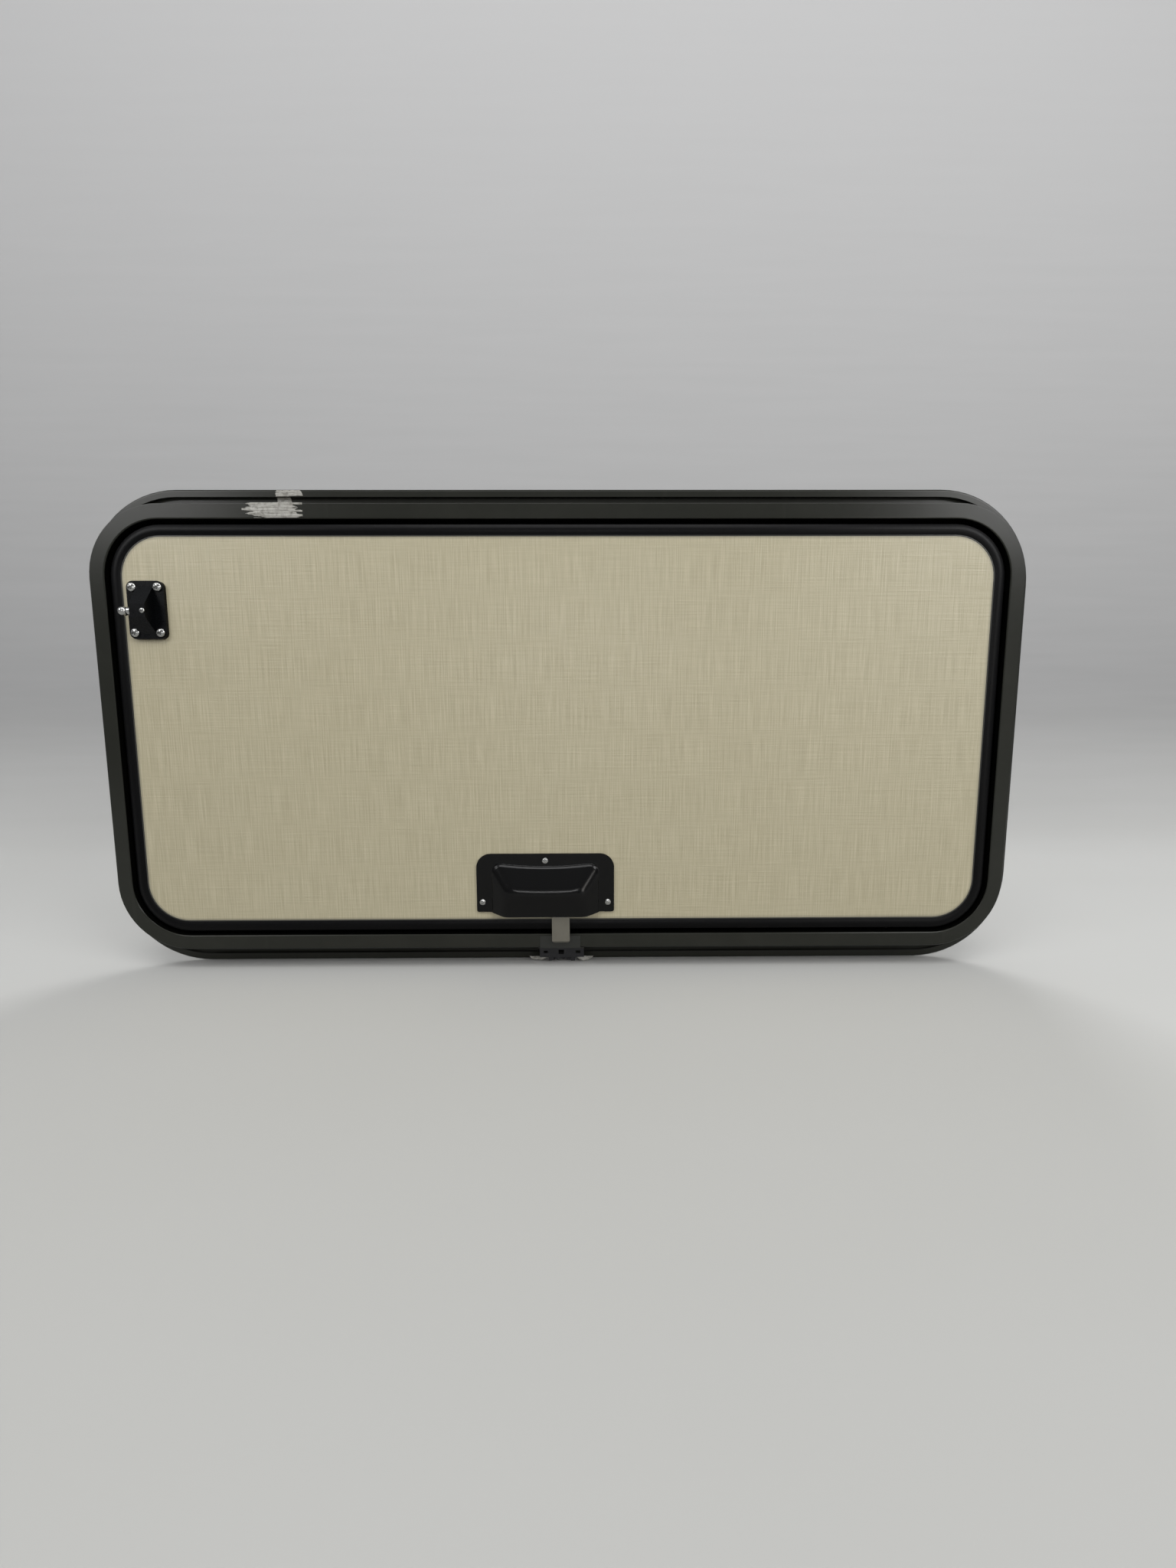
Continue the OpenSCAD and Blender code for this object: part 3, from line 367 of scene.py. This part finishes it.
# %% [markdown]
# ## Painted shade in the gap, and the bare lip
# Two long pieces need more than one even coat. The frame's inner wall and its seal groove are painted
# nearly black as painted shade of the deep gap. The leaf's edge section is painted nearly black all over
# as the same painted shade, and it has a narrow lip beside the panel whose coat has rubbed off. Both
# pieces follow the door's rounded outline, so the ring distance group finds the place.

# %% Tint by place
def tint_where(material, colour, strength, distance=None, depth=None):
    """Mixes a colour over a finish inside a range of distance from the outline and of depth."""
    tree = material.node_tree
    shader = tree.nodes["Principled BSDF"]
    before = shader.inputs["Base Color"].links[0].from_socket
    ring = place_group(tree, ring_distance, {})
    level = add(tree, "ShaderNodeMath", {0: strength, 1: 1.0}, operation="MULTIPLY")
    for output, limits in (("Distance", distance), ("Depth", depth)):
        if limits:
            edge = add(tree, "ShaderNodeMapRange", {"From Min": limits[0], "From Max": limits[1]},
                       interpolation_type="SMOOTHSTEP")
            product = add(tree, "ShaderNodeMath", operation="MULTIPLY")
            join(tree, (ring.outputs[output], edge.inputs["Value"]), (edge.outputs[0], product.inputs[0]),
                 (level.outputs[0], product.inputs[1]))
            level = product
    mix = add(tree, "ShaderNodeMix", {"B": colour}, data_type="RGBA")
    join(tree, (before, mix.inputs["A"]), (level.outputs[0], mix.inputs["Factor"]),
         (mix.outputs["Result"], shader.inputs["Base Color"]))


frame_coat = dark_coat("frame_coat")
# Painted shade: the frame's inner wall and seal groove, near the outline and behind the band's face, are painted nearly
# black for the shade in the deep gap.
tint_where(frame_coat, srgb(3, 3, 3), 0.95, distance=(0.0016, 0.0004), depth=(-0.0304, -0.0296))
cover_with(frame_coat, "frame_ring")
edge_coat = dark_coat("leaf_edge_coat")
# Painted shade: the whole edge section is painted nearly black, standing in for the shade of the gap it sits in.
tint_where(edge_coat, srgb(5, 5, 5), 0.9)
tint_where(edge_coat, srgb(66, 66, 62), 0.9, depth=(-0.0286, -0.0289))
cover_with(edge_coat, "leaf_edge_frame")
tint_where(clip_black, srgb(32, 33, 29), 0.9, depth=(-0.0303, -0.0308))
print("tinted:", frame_coat.name, edge_coat.name)

# %% [markdown]
# ## The linen-embossed panel
# The inside of the leaf is a board faced with vinyl that is rolled to look like linen. Its threads
# run up and across, the upright ones stronger, and here and there a thread swells into a slub. Each
# direction is a noise stretched along its threads, and a second, longer one makes the slubs.

# %% Linen group
def make_linen():
    group = bpy.data.node_groups.new("Linen", "ShaderNodeTree")
    start, end = group_sockets(
        group, {"Place": (0.0, 0.0, 0.0), "Upright": 1.0, "Across": 0.6},
        {"Height": "NodeSocketFloat", "Thread": "NodeSocketFloat", "Slub": "NodeSocketFloat"})

    def threads(scale, detail):
        drawn = add(group, "ShaderNodeMapping", {"Scale": scale})
        noise = add(group, "ShaderNodeTexNoise", {"Scale": 1.0, "Detail": detail, "Roughness": 0.55})
        join(group, (start.outputs["Place"], drawn.inputs["Vector"]), (drawn.outputs[0], noise.inputs["Vector"]))
        return noise.outputs["Fac"]

    def weighed(value, weight_name):
        level = add(group, "ShaderNodeMath", operation="MULTIPLY")
        join(group, (value, level.inputs[0]), (start.outputs[weight_name], level.inputs[1]))
        return level.outputs[0]

    upright = weighed(threads((760.0, 1.0, 20.0), 1.0), "Upright")
    across = weighed(threads((24.0, 1.0, 760.0), 1.0), "Across")
    long_upright = threads((420.0, 1.0, 14.0), 2.0)
    long_across = threads((14.0, 1.0, 420.0), 2.0)
    weave = add(group, "ShaderNodeMath", operation="ADD")
    slub = add(group, "ShaderNodeMath", operation="MULTIPLY")
    slub_edge = add(group, "ShaderNodeMapRange", {"From Min": 0.2, "From Max": 0.4})
    height = add(group, "ShaderNodeMath", operation="ADD")
    join(group, (upright, weave.inputs[0]), (across, weave.inputs[1]),
         (long_upright, slub.inputs[0]), (long_across, slub.inputs[1]),
         (slub.outputs[0], slub_edge.inputs["Value"]),
         (weave.outputs[0], height.inputs[0]), (slub_edge.outputs[0], height.inputs[1]),
         (height.outputs[0], end.inputs["Height"]), (weave.outputs[0], end.inputs["Thread"]),
         (slub_edge.outputs[0], end.inputs["Slub"]))
    return group


linen = make_linen()

# %% Linen finish
def make_linen_finish():
    material, shader = start_finish("linen_vinyl", srgb(176, 169, 142), 0.45, Sheen_Weight=0.1, Sheen_Roughness=0.5)
    tree = material.node_tree
    cloth = place_group(tree, linen, {"Upright": 1.15, "Across": 0.35})
    use = place_group(tree, handling, {"Smudge": 0.5, "Smudge Size": 3.2, "Scratch": 0.0})
    thread_range = add(tree, "ShaderNodeMapRange", {"From Min": 0.55, "From Max": 1.0})
    thread_tint = add(tree, "ShaderNodeMix", {"A": srgb(166, 158, 131), "B": srgb(183, 175, 148)}, data_type="RGBA")
    slub_tint = add(tree, "ShaderNodeMix", {"B": srgb(170, 163, 136)}, data_type="RGBA", blend_type="MIX")
    slub_level = add(tree, "ShaderNodeMath", {1: 0.25}, operation="MULTIPLY")
    cloud_level = add(tree, "ShaderNodeMath", {1: 0.3}, operation="MULTIPLY")
    cloud = add(tree, "ShaderNodeMix", {"B": srgb(182, 177, 152)}, data_type="RGBA")
    gloss = add(tree, "ShaderNodeMapRange", {"To Min": 0.36, "To Max": 0.52})
    join(tree, (cloth.outputs["Thread"], thread_range.inputs["Value"]),
         (thread_range.outputs[0], thread_tint.inputs["Factor"]),
         (thread_tint.outputs["Result"], slub_tint.inputs["A"]),
         (cloth.outputs["Slub"], slub_level.inputs[0]), (slub_level.outputs[0], slub_tint.inputs["Factor"]),
         (slub_tint.outputs["Result"], cloud.inputs["A"]),
         (use.outputs["Smudges"], cloud_level.inputs[0]), (cloud_level.outputs[0], cloud.inputs["Factor"]),
         (cloud.outputs["Result"], shader.inputs["Base Color"]),
         (cloth.outputs["Slub"], gloss.inputs["Value"]), (gloss.outputs[0], shader.inputs["Roughness"]))
    bumped(tree, shader, cloth.outputs["Height"], 0.00012)
    return material


linen_finish = make_linen_finish()
# Painted shade: a greyer, darker band along the panel's edge beside the rubber strip, standing in for the shade the
# frame casts there.
tint_where(linen_finish, srgb(120, 116, 100), 0.6, distance=(-0.0206, -0.0176))
cover_with(linen_finish, "leaf_inner_panel")
print("linen finish on the inner panel")

# %% [markdown]
# ## Moulded latch cover
# The cover is one injection-moulded shell: a thin flange with rounded upper corners, and a hood that
# climbs from its upper edge to a soft ridge, then falls a little to an open lower lip over the
# tongue. Moulded parts have no sharp creases, so the hood is written as a height over the flange:
# four planes, joined by a smooth minimum whose reach is the mould's radius. One sheet of faces takes
# that height, and a Solidify modifier gives it the wall of the moulding.

# %% Cover shape, in millimetres from the middle of its lower edge
COVER_HALF, COVER_TALL, COVER_R, COVER_FOOT_R = 77.7, 67.1, 16.0, 2.5
HOOD_HALF, HOOD_TOP, HOOD_DEEP, HOOD_STEP = 61.0, 54.0, 2.6, 1.1
FLANGE_T, WALL_T = 2.0, 1.9


def smooth_min(a, b, reach):
    """The smaller of two heights, with the crease between them rounded."""
    return min(a, b) - max(reach - abs(a - b), 0) ** 2 / (4 * reach)


def hood_height(x, y):
    """Height of the hood above the flange."""
    side = 0.7 * (HOOD_HALF - abs(x))
    upper = 0.52 * (HOOD_TOP - y) - 1.0 * (1 - (x / 40) ** 2)
    front = 12.4 + 0.09 * max(y, 0)
    slopes = smooth_min(side, upper, 9.0)
    slopes += HOOD_STEP * min(1.0, max(0.0, slopes / 0.9))
    body = smooth_min(slopes, front, 3.6)
    return -smooth_min(-body, 0.0, 1.6)


def cover_half_width(y):
    """Half the flange's width at height y, with its corners rounded."""
    if y > COVER_TALL - COVER_R:
        return COVER_HALF - COVER_R + math.sqrt(max(COVER_R ** 2 - (y - COVER_TALL + COVER_R) ** 2, 0))
    if 0 <= y < COVER_FOOT_R:
        return COVER_HALF - COVER_FOOT_R + math.sqrt(COVER_FOOT_R ** 2 - (COVER_FOOT_R - y) ** 2)
    return COVER_HALF


def bent_steps(count, start, end, crowd=1.6):
    """Steps from start to end that crowd towards both ends, where corners turn fastest."""
    ends = []
    for i in range(count + 1):
        t = 2 * i / count - 1
        ends.append(start + (end - start) * (0.5 + 0.5 * math.copysign(1 - (1 - abs(t)) ** crowd, t)))
    return ends


print("hood is", round(hood_height(0, 28), 1), "mm high at its ridge")


# %% Sheet helper
def sheet_of(name, rows, keep=None):
    """A mesh object of four-sided faces over rows of points; keep(i, j) says which faces are made."""
    mesh = bpy.data.meshes.new(name)
    wide = len(rows[0])
    faces = [(i * wide + j, i * wide + j + 1, (i + 1) * wide + j + 1, (i + 1) * wide + j)
             for i in range(len(rows) - 1) for j in range(wide - 1) if keep is None or keep(i, j)]
    mesh.from_pydata([p for row in rows for p in row], [], faces)
    loose = [v for v in range(len(mesh.vertices))]
    used = {v for f in faces for v in f}
    if len(used) < len(loose):
        shape = bmesh.new()
        shape.from_mesh(mesh)
        bmesh.ops.delete(shape, geom=[v for v in shape.verts if not v.link_faces], context="VERTS")
        shape.to_mesh(mesh)
        shape.free()
    mesh.polygons.foreach_set("use_smooth", [True] * len(mesh.polygons))
    piece = bpy.data.objects.new(name, mesh)
    bpy.context.scene.collection.objects.link(piece)
    return piece


def thicken(piece, thickness, edge=0.0003):
    """Gives a sheet a wall behind it, and softens the wall's edges."""
    wall = piece.modifiers.new("wall", "SOLIDIFY")
    wall.thickness, wall.offset = thickness, -1
    soft = piece.modifiers.new("edges", "BEVEL")
    soft.width, soft.segments, soft.limit_method, soft.angle_limit = edge, 2, "ANGLE", math.radians(50)
    soft.harden_normals = True


def dress(piece, material, slot_name, body, *replaced):
    """Finish, material slot, body and replaced nodes of a new piece; the slot name is not used."""
    piece.data.materials.append(material)
    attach(piece, body)
    if replaced:
        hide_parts(*replaced)
    return piece


# %% Make the cover
cover_lo, cover_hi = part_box("lock_cover")
COVER_X = (cover_lo[0] + cover_hi[0]) / 2
COVER_FOOT = cover_hi[2] - COVER_TALL / 1000
COVER_BACK = cover_hi[1]
MM = 0.001


def cover_point(share, y):
    """A point of the cover's face: share runs from -1 to 1 across, y up from the lower edge."""
    x = share * cover_half_width(y)
    lift = hood_height(x, y)
    lip = max(0.0, 1 - y / 4.0) if y < 4 else 0.0
    drop = HOOD_DEEP * min(1.0, lift / 11.0) * lip
    lift -= 1.0 * lip ** 3 * min(1.0, lift / 11.0)
    return (COVER_X + x * MM, COVER_BACK - (FLANGE_T + lift) * MM, COVER_FOOT + (y - drop) * MM)


cover_rows = [[cover_point(s, y) for s in bent_steps(180, -1, 1, 1.2)] for y in bent_steps(110, 0, COVER_TALL, 1.3)]
latch_cover = sheet_of("latch_cover", cover_rows)
thicken(latch_cover, WALL_T * MM, 0.0004)
dress(latch_cover, moulded_black, "black_plastic", "leaf", "lock_cover")
print("latch cover:", len(latch_cover.data.polygons), "faces")

# %% [markdown]
# ## Sealant over the frame's joint
# Someone filled the butt joint of the bent frame and wiped the sealant along it with a finger. It
# cured as a thin pale film with ragged, streaky ends on the face, a thicker pad on the flange's rim,
# and a bridge between them. The film is a fine sheet of faces laid on the frame, with streaky noise
# deciding both its thickness and where it has broken away.

# %% Film on the face
from mathutils import noise

FILM_X0, FILM_X1 = -0.3335, -0.2700
FILM_LOW, FILM_HIGH = 0.2279, 0.2432
FILM_COLS, FILM_ROWS = 170, 44
band_face_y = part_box("frame_ring")[0][1]


def streaks(x, z, seed):
    """Noise drawn out along the wiping direction, about -1 to 1."""
    broad = noise.noise((x * 34, z * 420, seed))
    fine = noise.noise((x * 95, z * 1500, seed + 7.3))
    return 1.5 * broad + 0.7 * fine


def film_cover(x, z):
    """How firmly the film covers a place; below zero it has broken away."""
    across = (x - (FILM_X0 + FILM_X1) / 2) / ((FILM_X1 - FILM_X0) / 2)
    along = (z - FILM_LOW) / (FILM_HIGH - FILM_LOW)
    taper = max(0.0, -across - 0.1) * (1.5 * abs(along - 0.58) + 0.1)
    thin_low = 0.5 * max(0.0, 0.2 - along) / 0.2
    return 0.9 - abs(across) ** 2.6 - taper - thin_low + 0.5 * streaks(x, z, 2.0)


def film_row(row):
    z = FILM_LOW + (FILM_HIGH - FILM_LOW) * row / FILM_ROWS
    points = []
    for column in range(FILM_COLS + 1):
        x = FILM_X0 + (FILM_X1 - FILM_X0) * column / FILM_COLS
        thick = 0.12 + 0.4 * max(0.0, min(1.0, film_cover(x, z))) + 0.16 * streaks(x, z, 9.0)
        points.append((x, band_face_y - max(0.05, thick) * MM, z))
    return points


def film_kept(i, j):
    x = FILM_X0 + (FILM_X1 - FILM_X0) * (j + 0.5) / FILM_COLS
    z = FILM_LOW + (FILM_HIGH - FILM_LOW) * (i + 0.5) / FILM_ROWS
    return film_cover(x, z) > 0


film = sheet_of("sealant_film", [film_row(i) for i in range(FILM_ROWS + 1)], film_kept)
wall = film.modifiers.new("wall", "SOLIDIFY")
wall.thickness, wall.offset = 0.0003, -1
dress(film, silicone, "cured_sealant", "frame", "joint_sealant")
print("film:", len(film.data.polygons), "faces")

# %% [markdown]
# The pad and the bridge follow the frame's section: over the rim, down into the sealant space, across
# it, and up the outer wall to the face. So they are one strip whose rows walk along that path.

# %% Pad and bridge
PATH = [(0.2690, 3.0), (0.2680, 0.9), (0.2664, 0.15), (0.2640, 0.0), (0.2612, 0.0), (0.2609, -2.2),
        (0.2602, -4.3), (0.2560, -4.5), (0.2480, -4.5), (0.2434, -4.0), (0.2431, 4.0), (0.2431, 17.0),
        (0.2431, 29.6), (0.2426, 30.8), (0.2412, 31.0)]
PATH = [(z, -abs(h) if i < 2 else h) for i, (z, h) in enumerate(PATH)]
PAD_STEPS = 6


def path_width(share):
    """Left and right end of the strip at a share of the way from rim to face."""
    if share < 0.27:
        return -0.3135, -0.2870 + 0.0035 * share / 0.27
    if share < 0.42:
        return -0.3135, -0.2990
    return -0.3135 - 0.012 * (share - 0.42), -0.2985 + 0.006 * (share - 0.42)


def strip_rows(columns=70):
    rows = []
    steps = (len(PATH) - 1) * PAD_STEPS
    for i in range(steps + 1):
        k, t = min(i // PAD_STEPS, len(PATH) - 2), (i - min(i // PAD_STEPS, len(PATH) - 2) * PAD_STEPS) / PAD_STEPS
        z = PATH[k][0] + (PATH[k + 1][0] - PATH[k][0]) * t
        h = PATH[k][1] + (PATH[k + 1][1] - PATH[k][1]) * t
        left, right = path_width(i / steps)
        row = []
        for j in range(columns + 1):
            ragged = 0.0008 * noise.noise((i * 0.31, 5.0 if j < columns / 2 else 9.0, 1.0))
            x = left + (right - left) * j / columns + ragged
            lump = 0.35 + 0.3 * noise.noise((x * 260, i * 0.45, 4.0)) + 0.15 * noise.noise((x * 900, i * 1.1, 6.0))
            edge = min(1.0, j / 3, (columns - j) / 3)
            row.append((x, -(h + lump * edge) * MM, z + 0.0002 * edge))
        rows.append(row)
    return rows


bridge = sheet_of("sealant_bridge", strip_rows())
wall = bridge.modifiers.new("wall", "SOLIDIFY")
wall.thickness, wall.offset = 0.0004, 1
dress(bridge, silicone, "cured_sealant", "frame")
print("bridge:", len(bridge.data.polygons), "faces")

# %% [markdown]
# ## The striker's foot and what was squeezed out beside it
# Behind the frame's lower edge the striker clip ends in a flat foot with a square hole between two
# slots, and its torn edge reaches past the flange. Sealant was squeezed out on both sides of it.
# The foot is a sheet of faces with the holes left out of it, given a wall by Solidify, and the torn
# edges are fine sheets whose lower rows are left out where a noise says so.

# %% Striker foot
clip_lo, clip_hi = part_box("striker_clip")
FOOT_H, FOOT_LOW = 14.3, -0.2618
FOOT_HOLES = [(-0.0024, 0.0031, 0.0027), (0.0174, 0.0027, 0.0016), (-0.0206, 0.0023, 0.0014)]
HOLE_Z = -0.2555


def foot_kept(x, z):
    """False inside the square hole and the two slots."""
    for middle, half_wide, half_tall in FOOT_HOLES:
        if abs(x - middle) < half_wide and abs(z - HOLE_Z) < half_tall:
            return False
    return True


def foot_lines(low, high, cuts, step):
    """Lines of a grid from low to high that fall exactly on the cuts."""
    stops = sorted({low, high, *[c for c in cuts if low < c < high]})
    lines = []
    for a, b in zip(stops, stops[1:]):
        count = max(1, round((b - a) / step))
        lines += [a + (b - a) * i / count for i in range(count)]
    return lines + [high]


foot_xs = foot_lines(clip_lo[0], clip_hi[0], [m + sign * half for m, half, _ in FOOT_HOLES for sign in (-1, 1)], 0.0012)
foot_zs = foot_lines(FOOT_LOW, -0.2434, [HOLE_Z + sign * tall for _, _, tall in FOOT_HOLES for sign in (-1, 1)], 0.0012)
foot_rows = [[(x, -(FOOT_H + 0.25 * math.sin((z - FOOT_LOW) * 170)) * MM, z) for x in foot_xs] for z in foot_zs]
foot = sheet_of("striker_foot", foot_rows, lambda i, j: foot_kept(
    (foot_xs[j] + foot_xs[j + 1]) / 2, (foot_zs[i] + foot_zs[i + 1]) / 2))
thicken(foot, 1.2 * MM, 0.00025)
dress(foot, clip_black, "black_plastic", "frame")
print("striker foot:", len(foot.data.polygons), "faces")


# %% Torn edges
def torn_edge(name, x0, x1, top, low, height, seed, material, slot_name):
    """A thin crumpled sheet whose lower edge is ragged."""
    columns, rows = round((x1 - x0) / 0.0006), 22

    def place(i, j):
        x, z = x0 + (x1 - x0) * j / columns, low + (top - low) * i / rows
        lift = 1.1 * noise.noise((x * 170, z * 260, seed)) + 0.4 * noise.noise((x * 520, z * 700, seed))
        return x, -(height + lift) * MM, z

    def kept(i, j):
        x = x0 + (x1 - x0) * (j + 0.5) / columns
        end = min(1.0, (x - x0) / 0.004, (x1 - x) / 0.004)
        reach = 0.42 + 0.55 * noise.noise((x * 210, seed, 3.0)) + 0.3 * noise.noise((x * 800, seed, 8.0))
        return (i + 0.5) / rows > 1 - end * (1 - max(0.0, reach) * 0.62)

    torn = sheet_of(name, [[place(i, j) for j in range(columns + 1)] for i in range(rows + 1)], kept)
    shell = torn.modifiers.new("wall", "SOLIDIFY")
    shell.thickness = 0.5 * MM
    return dress(torn, material, slot_name, "frame")


torn_edge("striker_tear", -0.0185, 0.0142, -0.2590, -0.2686, 9.2, 2.0, clip_black, "black_plastic")
torn_edge("squeezed_left", -0.0405, -0.0190, -0.2630, -0.2688, 8.6, 5.0, silicone, "cured_sealant")
torn_edge("squeezed_right", 0.0146, 0.0355, -0.2630, -0.2690, 8.6, 6.4, silicone, "cured_sealant")
print("torn edges made")

# %% [markdown]
# ## Stage finish and light
# A plain level of light lets every colour render about as it is written. Two large soft lamps stand
# raised at both sides, where no face of the frame mirrors them to the camera, and a third hangs
# above. A narrow strip in front draws the thin bright lines along the ridges. A small one to the right, at the height of the camera, gives the panel the soft sheen of the
# photograph. The world adds the even light of a pale room.

# %% Stage finish
def make_stage_finish():
    material, shader = start_finish("pale_backdrop", srgb(188, 189, 190), 0.85)
    tree = material.node_tree
    out = tree.nodes["Material Output"]
    paper = place_group(tree, grain, {"Size": 30.0, "Stretch": (0.4, 1.0, 6.0)})
    where = add(tree, "ShaderNodeTexCoord")
    height = add(tree, "ShaderNodeSeparateXYZ")
    # Painted shade: from the floor up to 1.6 m the sweep's colour dips to a darker band about a fifth of the way up,
    # and is lighter at the floor and towards the top, standing in for how the light falls off on the backdrop.
    rise = add(tree, "ShaderNodeMapRange", {"From Min": FLOOR_Z, "From Max": 1.6})
    fade = add(tree, "ShaderNodeValToRGB")
    fade.color_ramp.elements[0].color = srgb(182, 182, 179)
    fade.color_ramp.elements[1].color = srgb(188, 188, 188)
    low = fade.color_ramp.elements.new(0.2)
    low.color = srgb(160, 160, 160)
    tint = add(tree, "ShaderNodeMix", {"B": srgb(192, 192, 192)}, data_type="RGBA")
    streak = add(tree, "ShaderNodeMath", {1: 0.25}, operation="MULTIPLY")
    see_through = add(tree, "ShaderNodeBsdfTransparent")
    ray = add(tree, "ShaderNodeLightPath")
    side = add(tree, "ShaderNodeNewGeometry")
    front = add(tree, "ShaderNodeMath", {0: 1.0}, operation="SUBTRACT")
    shining = add(tree, "ShaderNodeMath", operation="MAXIMUM")
    looked_at = add(tree, "ShaderNodeMath", operation="MAXIMUM")
    seen = add(tree, "ShaderNodeMath", operation="MULTIPLY")
    shown = add(tree, "ShaderNodeMixShader")
    join(tree, (where.outputs["Object"], height.inputs[0]), (height.outputs["Z"], rise.inputs["Value"]),
         (rise.outputs[0], fade.inputs[0]), (fade.outputs[0], tint.inputs["A"]),
         (paper.outputs["Mask"], streak.inputs[0]), (streak.outputs[0], tint.inputs["Factor"]),
         (tint.outputs["Result"], shader.inputs["Base Color"]),
         (side.outputs["Backfacing"], front.inputs[1]), (front.outputs[0], seen.inputs[0]),
         (ray.outputs["Is Glossy Ray"], shining.inputs[0]), (ray.outputs["Is Transmission Ray"], shining.inputs[1]),
         (ray.outputs["Is Camera Ray"], looked_at.inputs[0]), (shining.outputs[0], looked_at.inputs[1]),
         (looked_at.outputs[0], seen.inputs[1]), (seen.outputs[0], shown.inputs[0]),
         (see_through.outputs[0], shown.inputs[1]), (shader.outputs[0], shown.inputs[2]),
         (shown.outputs[0], out.inputs["Surface"]))
    return material


sweep.data.materials.append(make_stage_finish())

# %% Lamps
def hang_lamp(name, place, aim, size, power, colour=(1.0, 1.0, 1.0)):
    data = bpy.data.lights.new(name, "AREA")
    data.shape, data.size, data.size_y = "RECTANGLE", size[0], size[1]
    data.energy, data.color = power, colour
    lamp = bpy.data.objects.new(name, data)
    lamp.location = place
    lamp.rotation_euler = (Vector(aim) - Vector(place)).to_track_quat("-Z", "Y").to_euler()
    bpy.context.scene.collection.objects.link(lamp)
    return lamp


hang_lamp("lamp_above", (0.0, -1.45, 2.7), (0, 0, 0), (2.6, 1.0), 40)
hang_lamp("lamp_right", (2.05, -1.7, 1.4), (0, 0, 0), (1.2, 1.2), 32)
hang_lamp("lamp_left", (-2.05, -1.7, 1.4), (0, 0, 0), (1.2, 1.2), 22)
hang_lamp("lamp_strip", (0.0, -2.9, 0.5), (0, 0, 0), (1.4, 0.16), 10)
hang_lamp("lamp_sheen", (1.75, -2.6, 0.2), (0.2, 0, 0), (0.45, 0.6), 6, (1.0, 0.97, 0.92))
hang_lamp("lamp_behind", (0.6, 2.6, 1.6), (0, 0.2, 0), (2.0, 1.2), 50)

# %% World
def light_the_room():
    """Even light from a pale room: bright above, dimmer at the sides and below."""
    world = bpy.data.worlds.new("pale_room")
    bpy.context.scene.world = world
    world.use_nodes = True
    tree = world.node_tree
    where = add(tree, "ShaderNodeTexCoord")
    parts = add(tree, "ShaderNodeSeparateXYZ")
    rise = add(tree, "ShaderNodeMapRange", {"From Min": -1.0, "From Max": 1.0})
    fade = add(tree, "ShaderNodeValToRGB")
    fade.color_ramp.elements[0].color = (0.3, 0.3, 0.3, 1)
    fade.color_ramp.elements[1].color = (1.0, 1.02, 1.05, 1)
    horizon = fade.color_ramp.elements.new(0.5)
    horizon.color = (0.5, 0.5, 0.51, 1)
    join(tree, (where.outputs["Generated"], parts.inputs[0]), (parts.outputs["Z"], rise.inputs["Value"]),
         (rise.outputs[0], fade.inputs[0]), (fade.outputs[0], tree.nodes["Background"].inputs["Color"]))
    tree.nodes["Background"].inputs["Strength"].default_value = 0.46


light_the_room()
bpy.context.scene.view_settings.view_transform = "Standard"
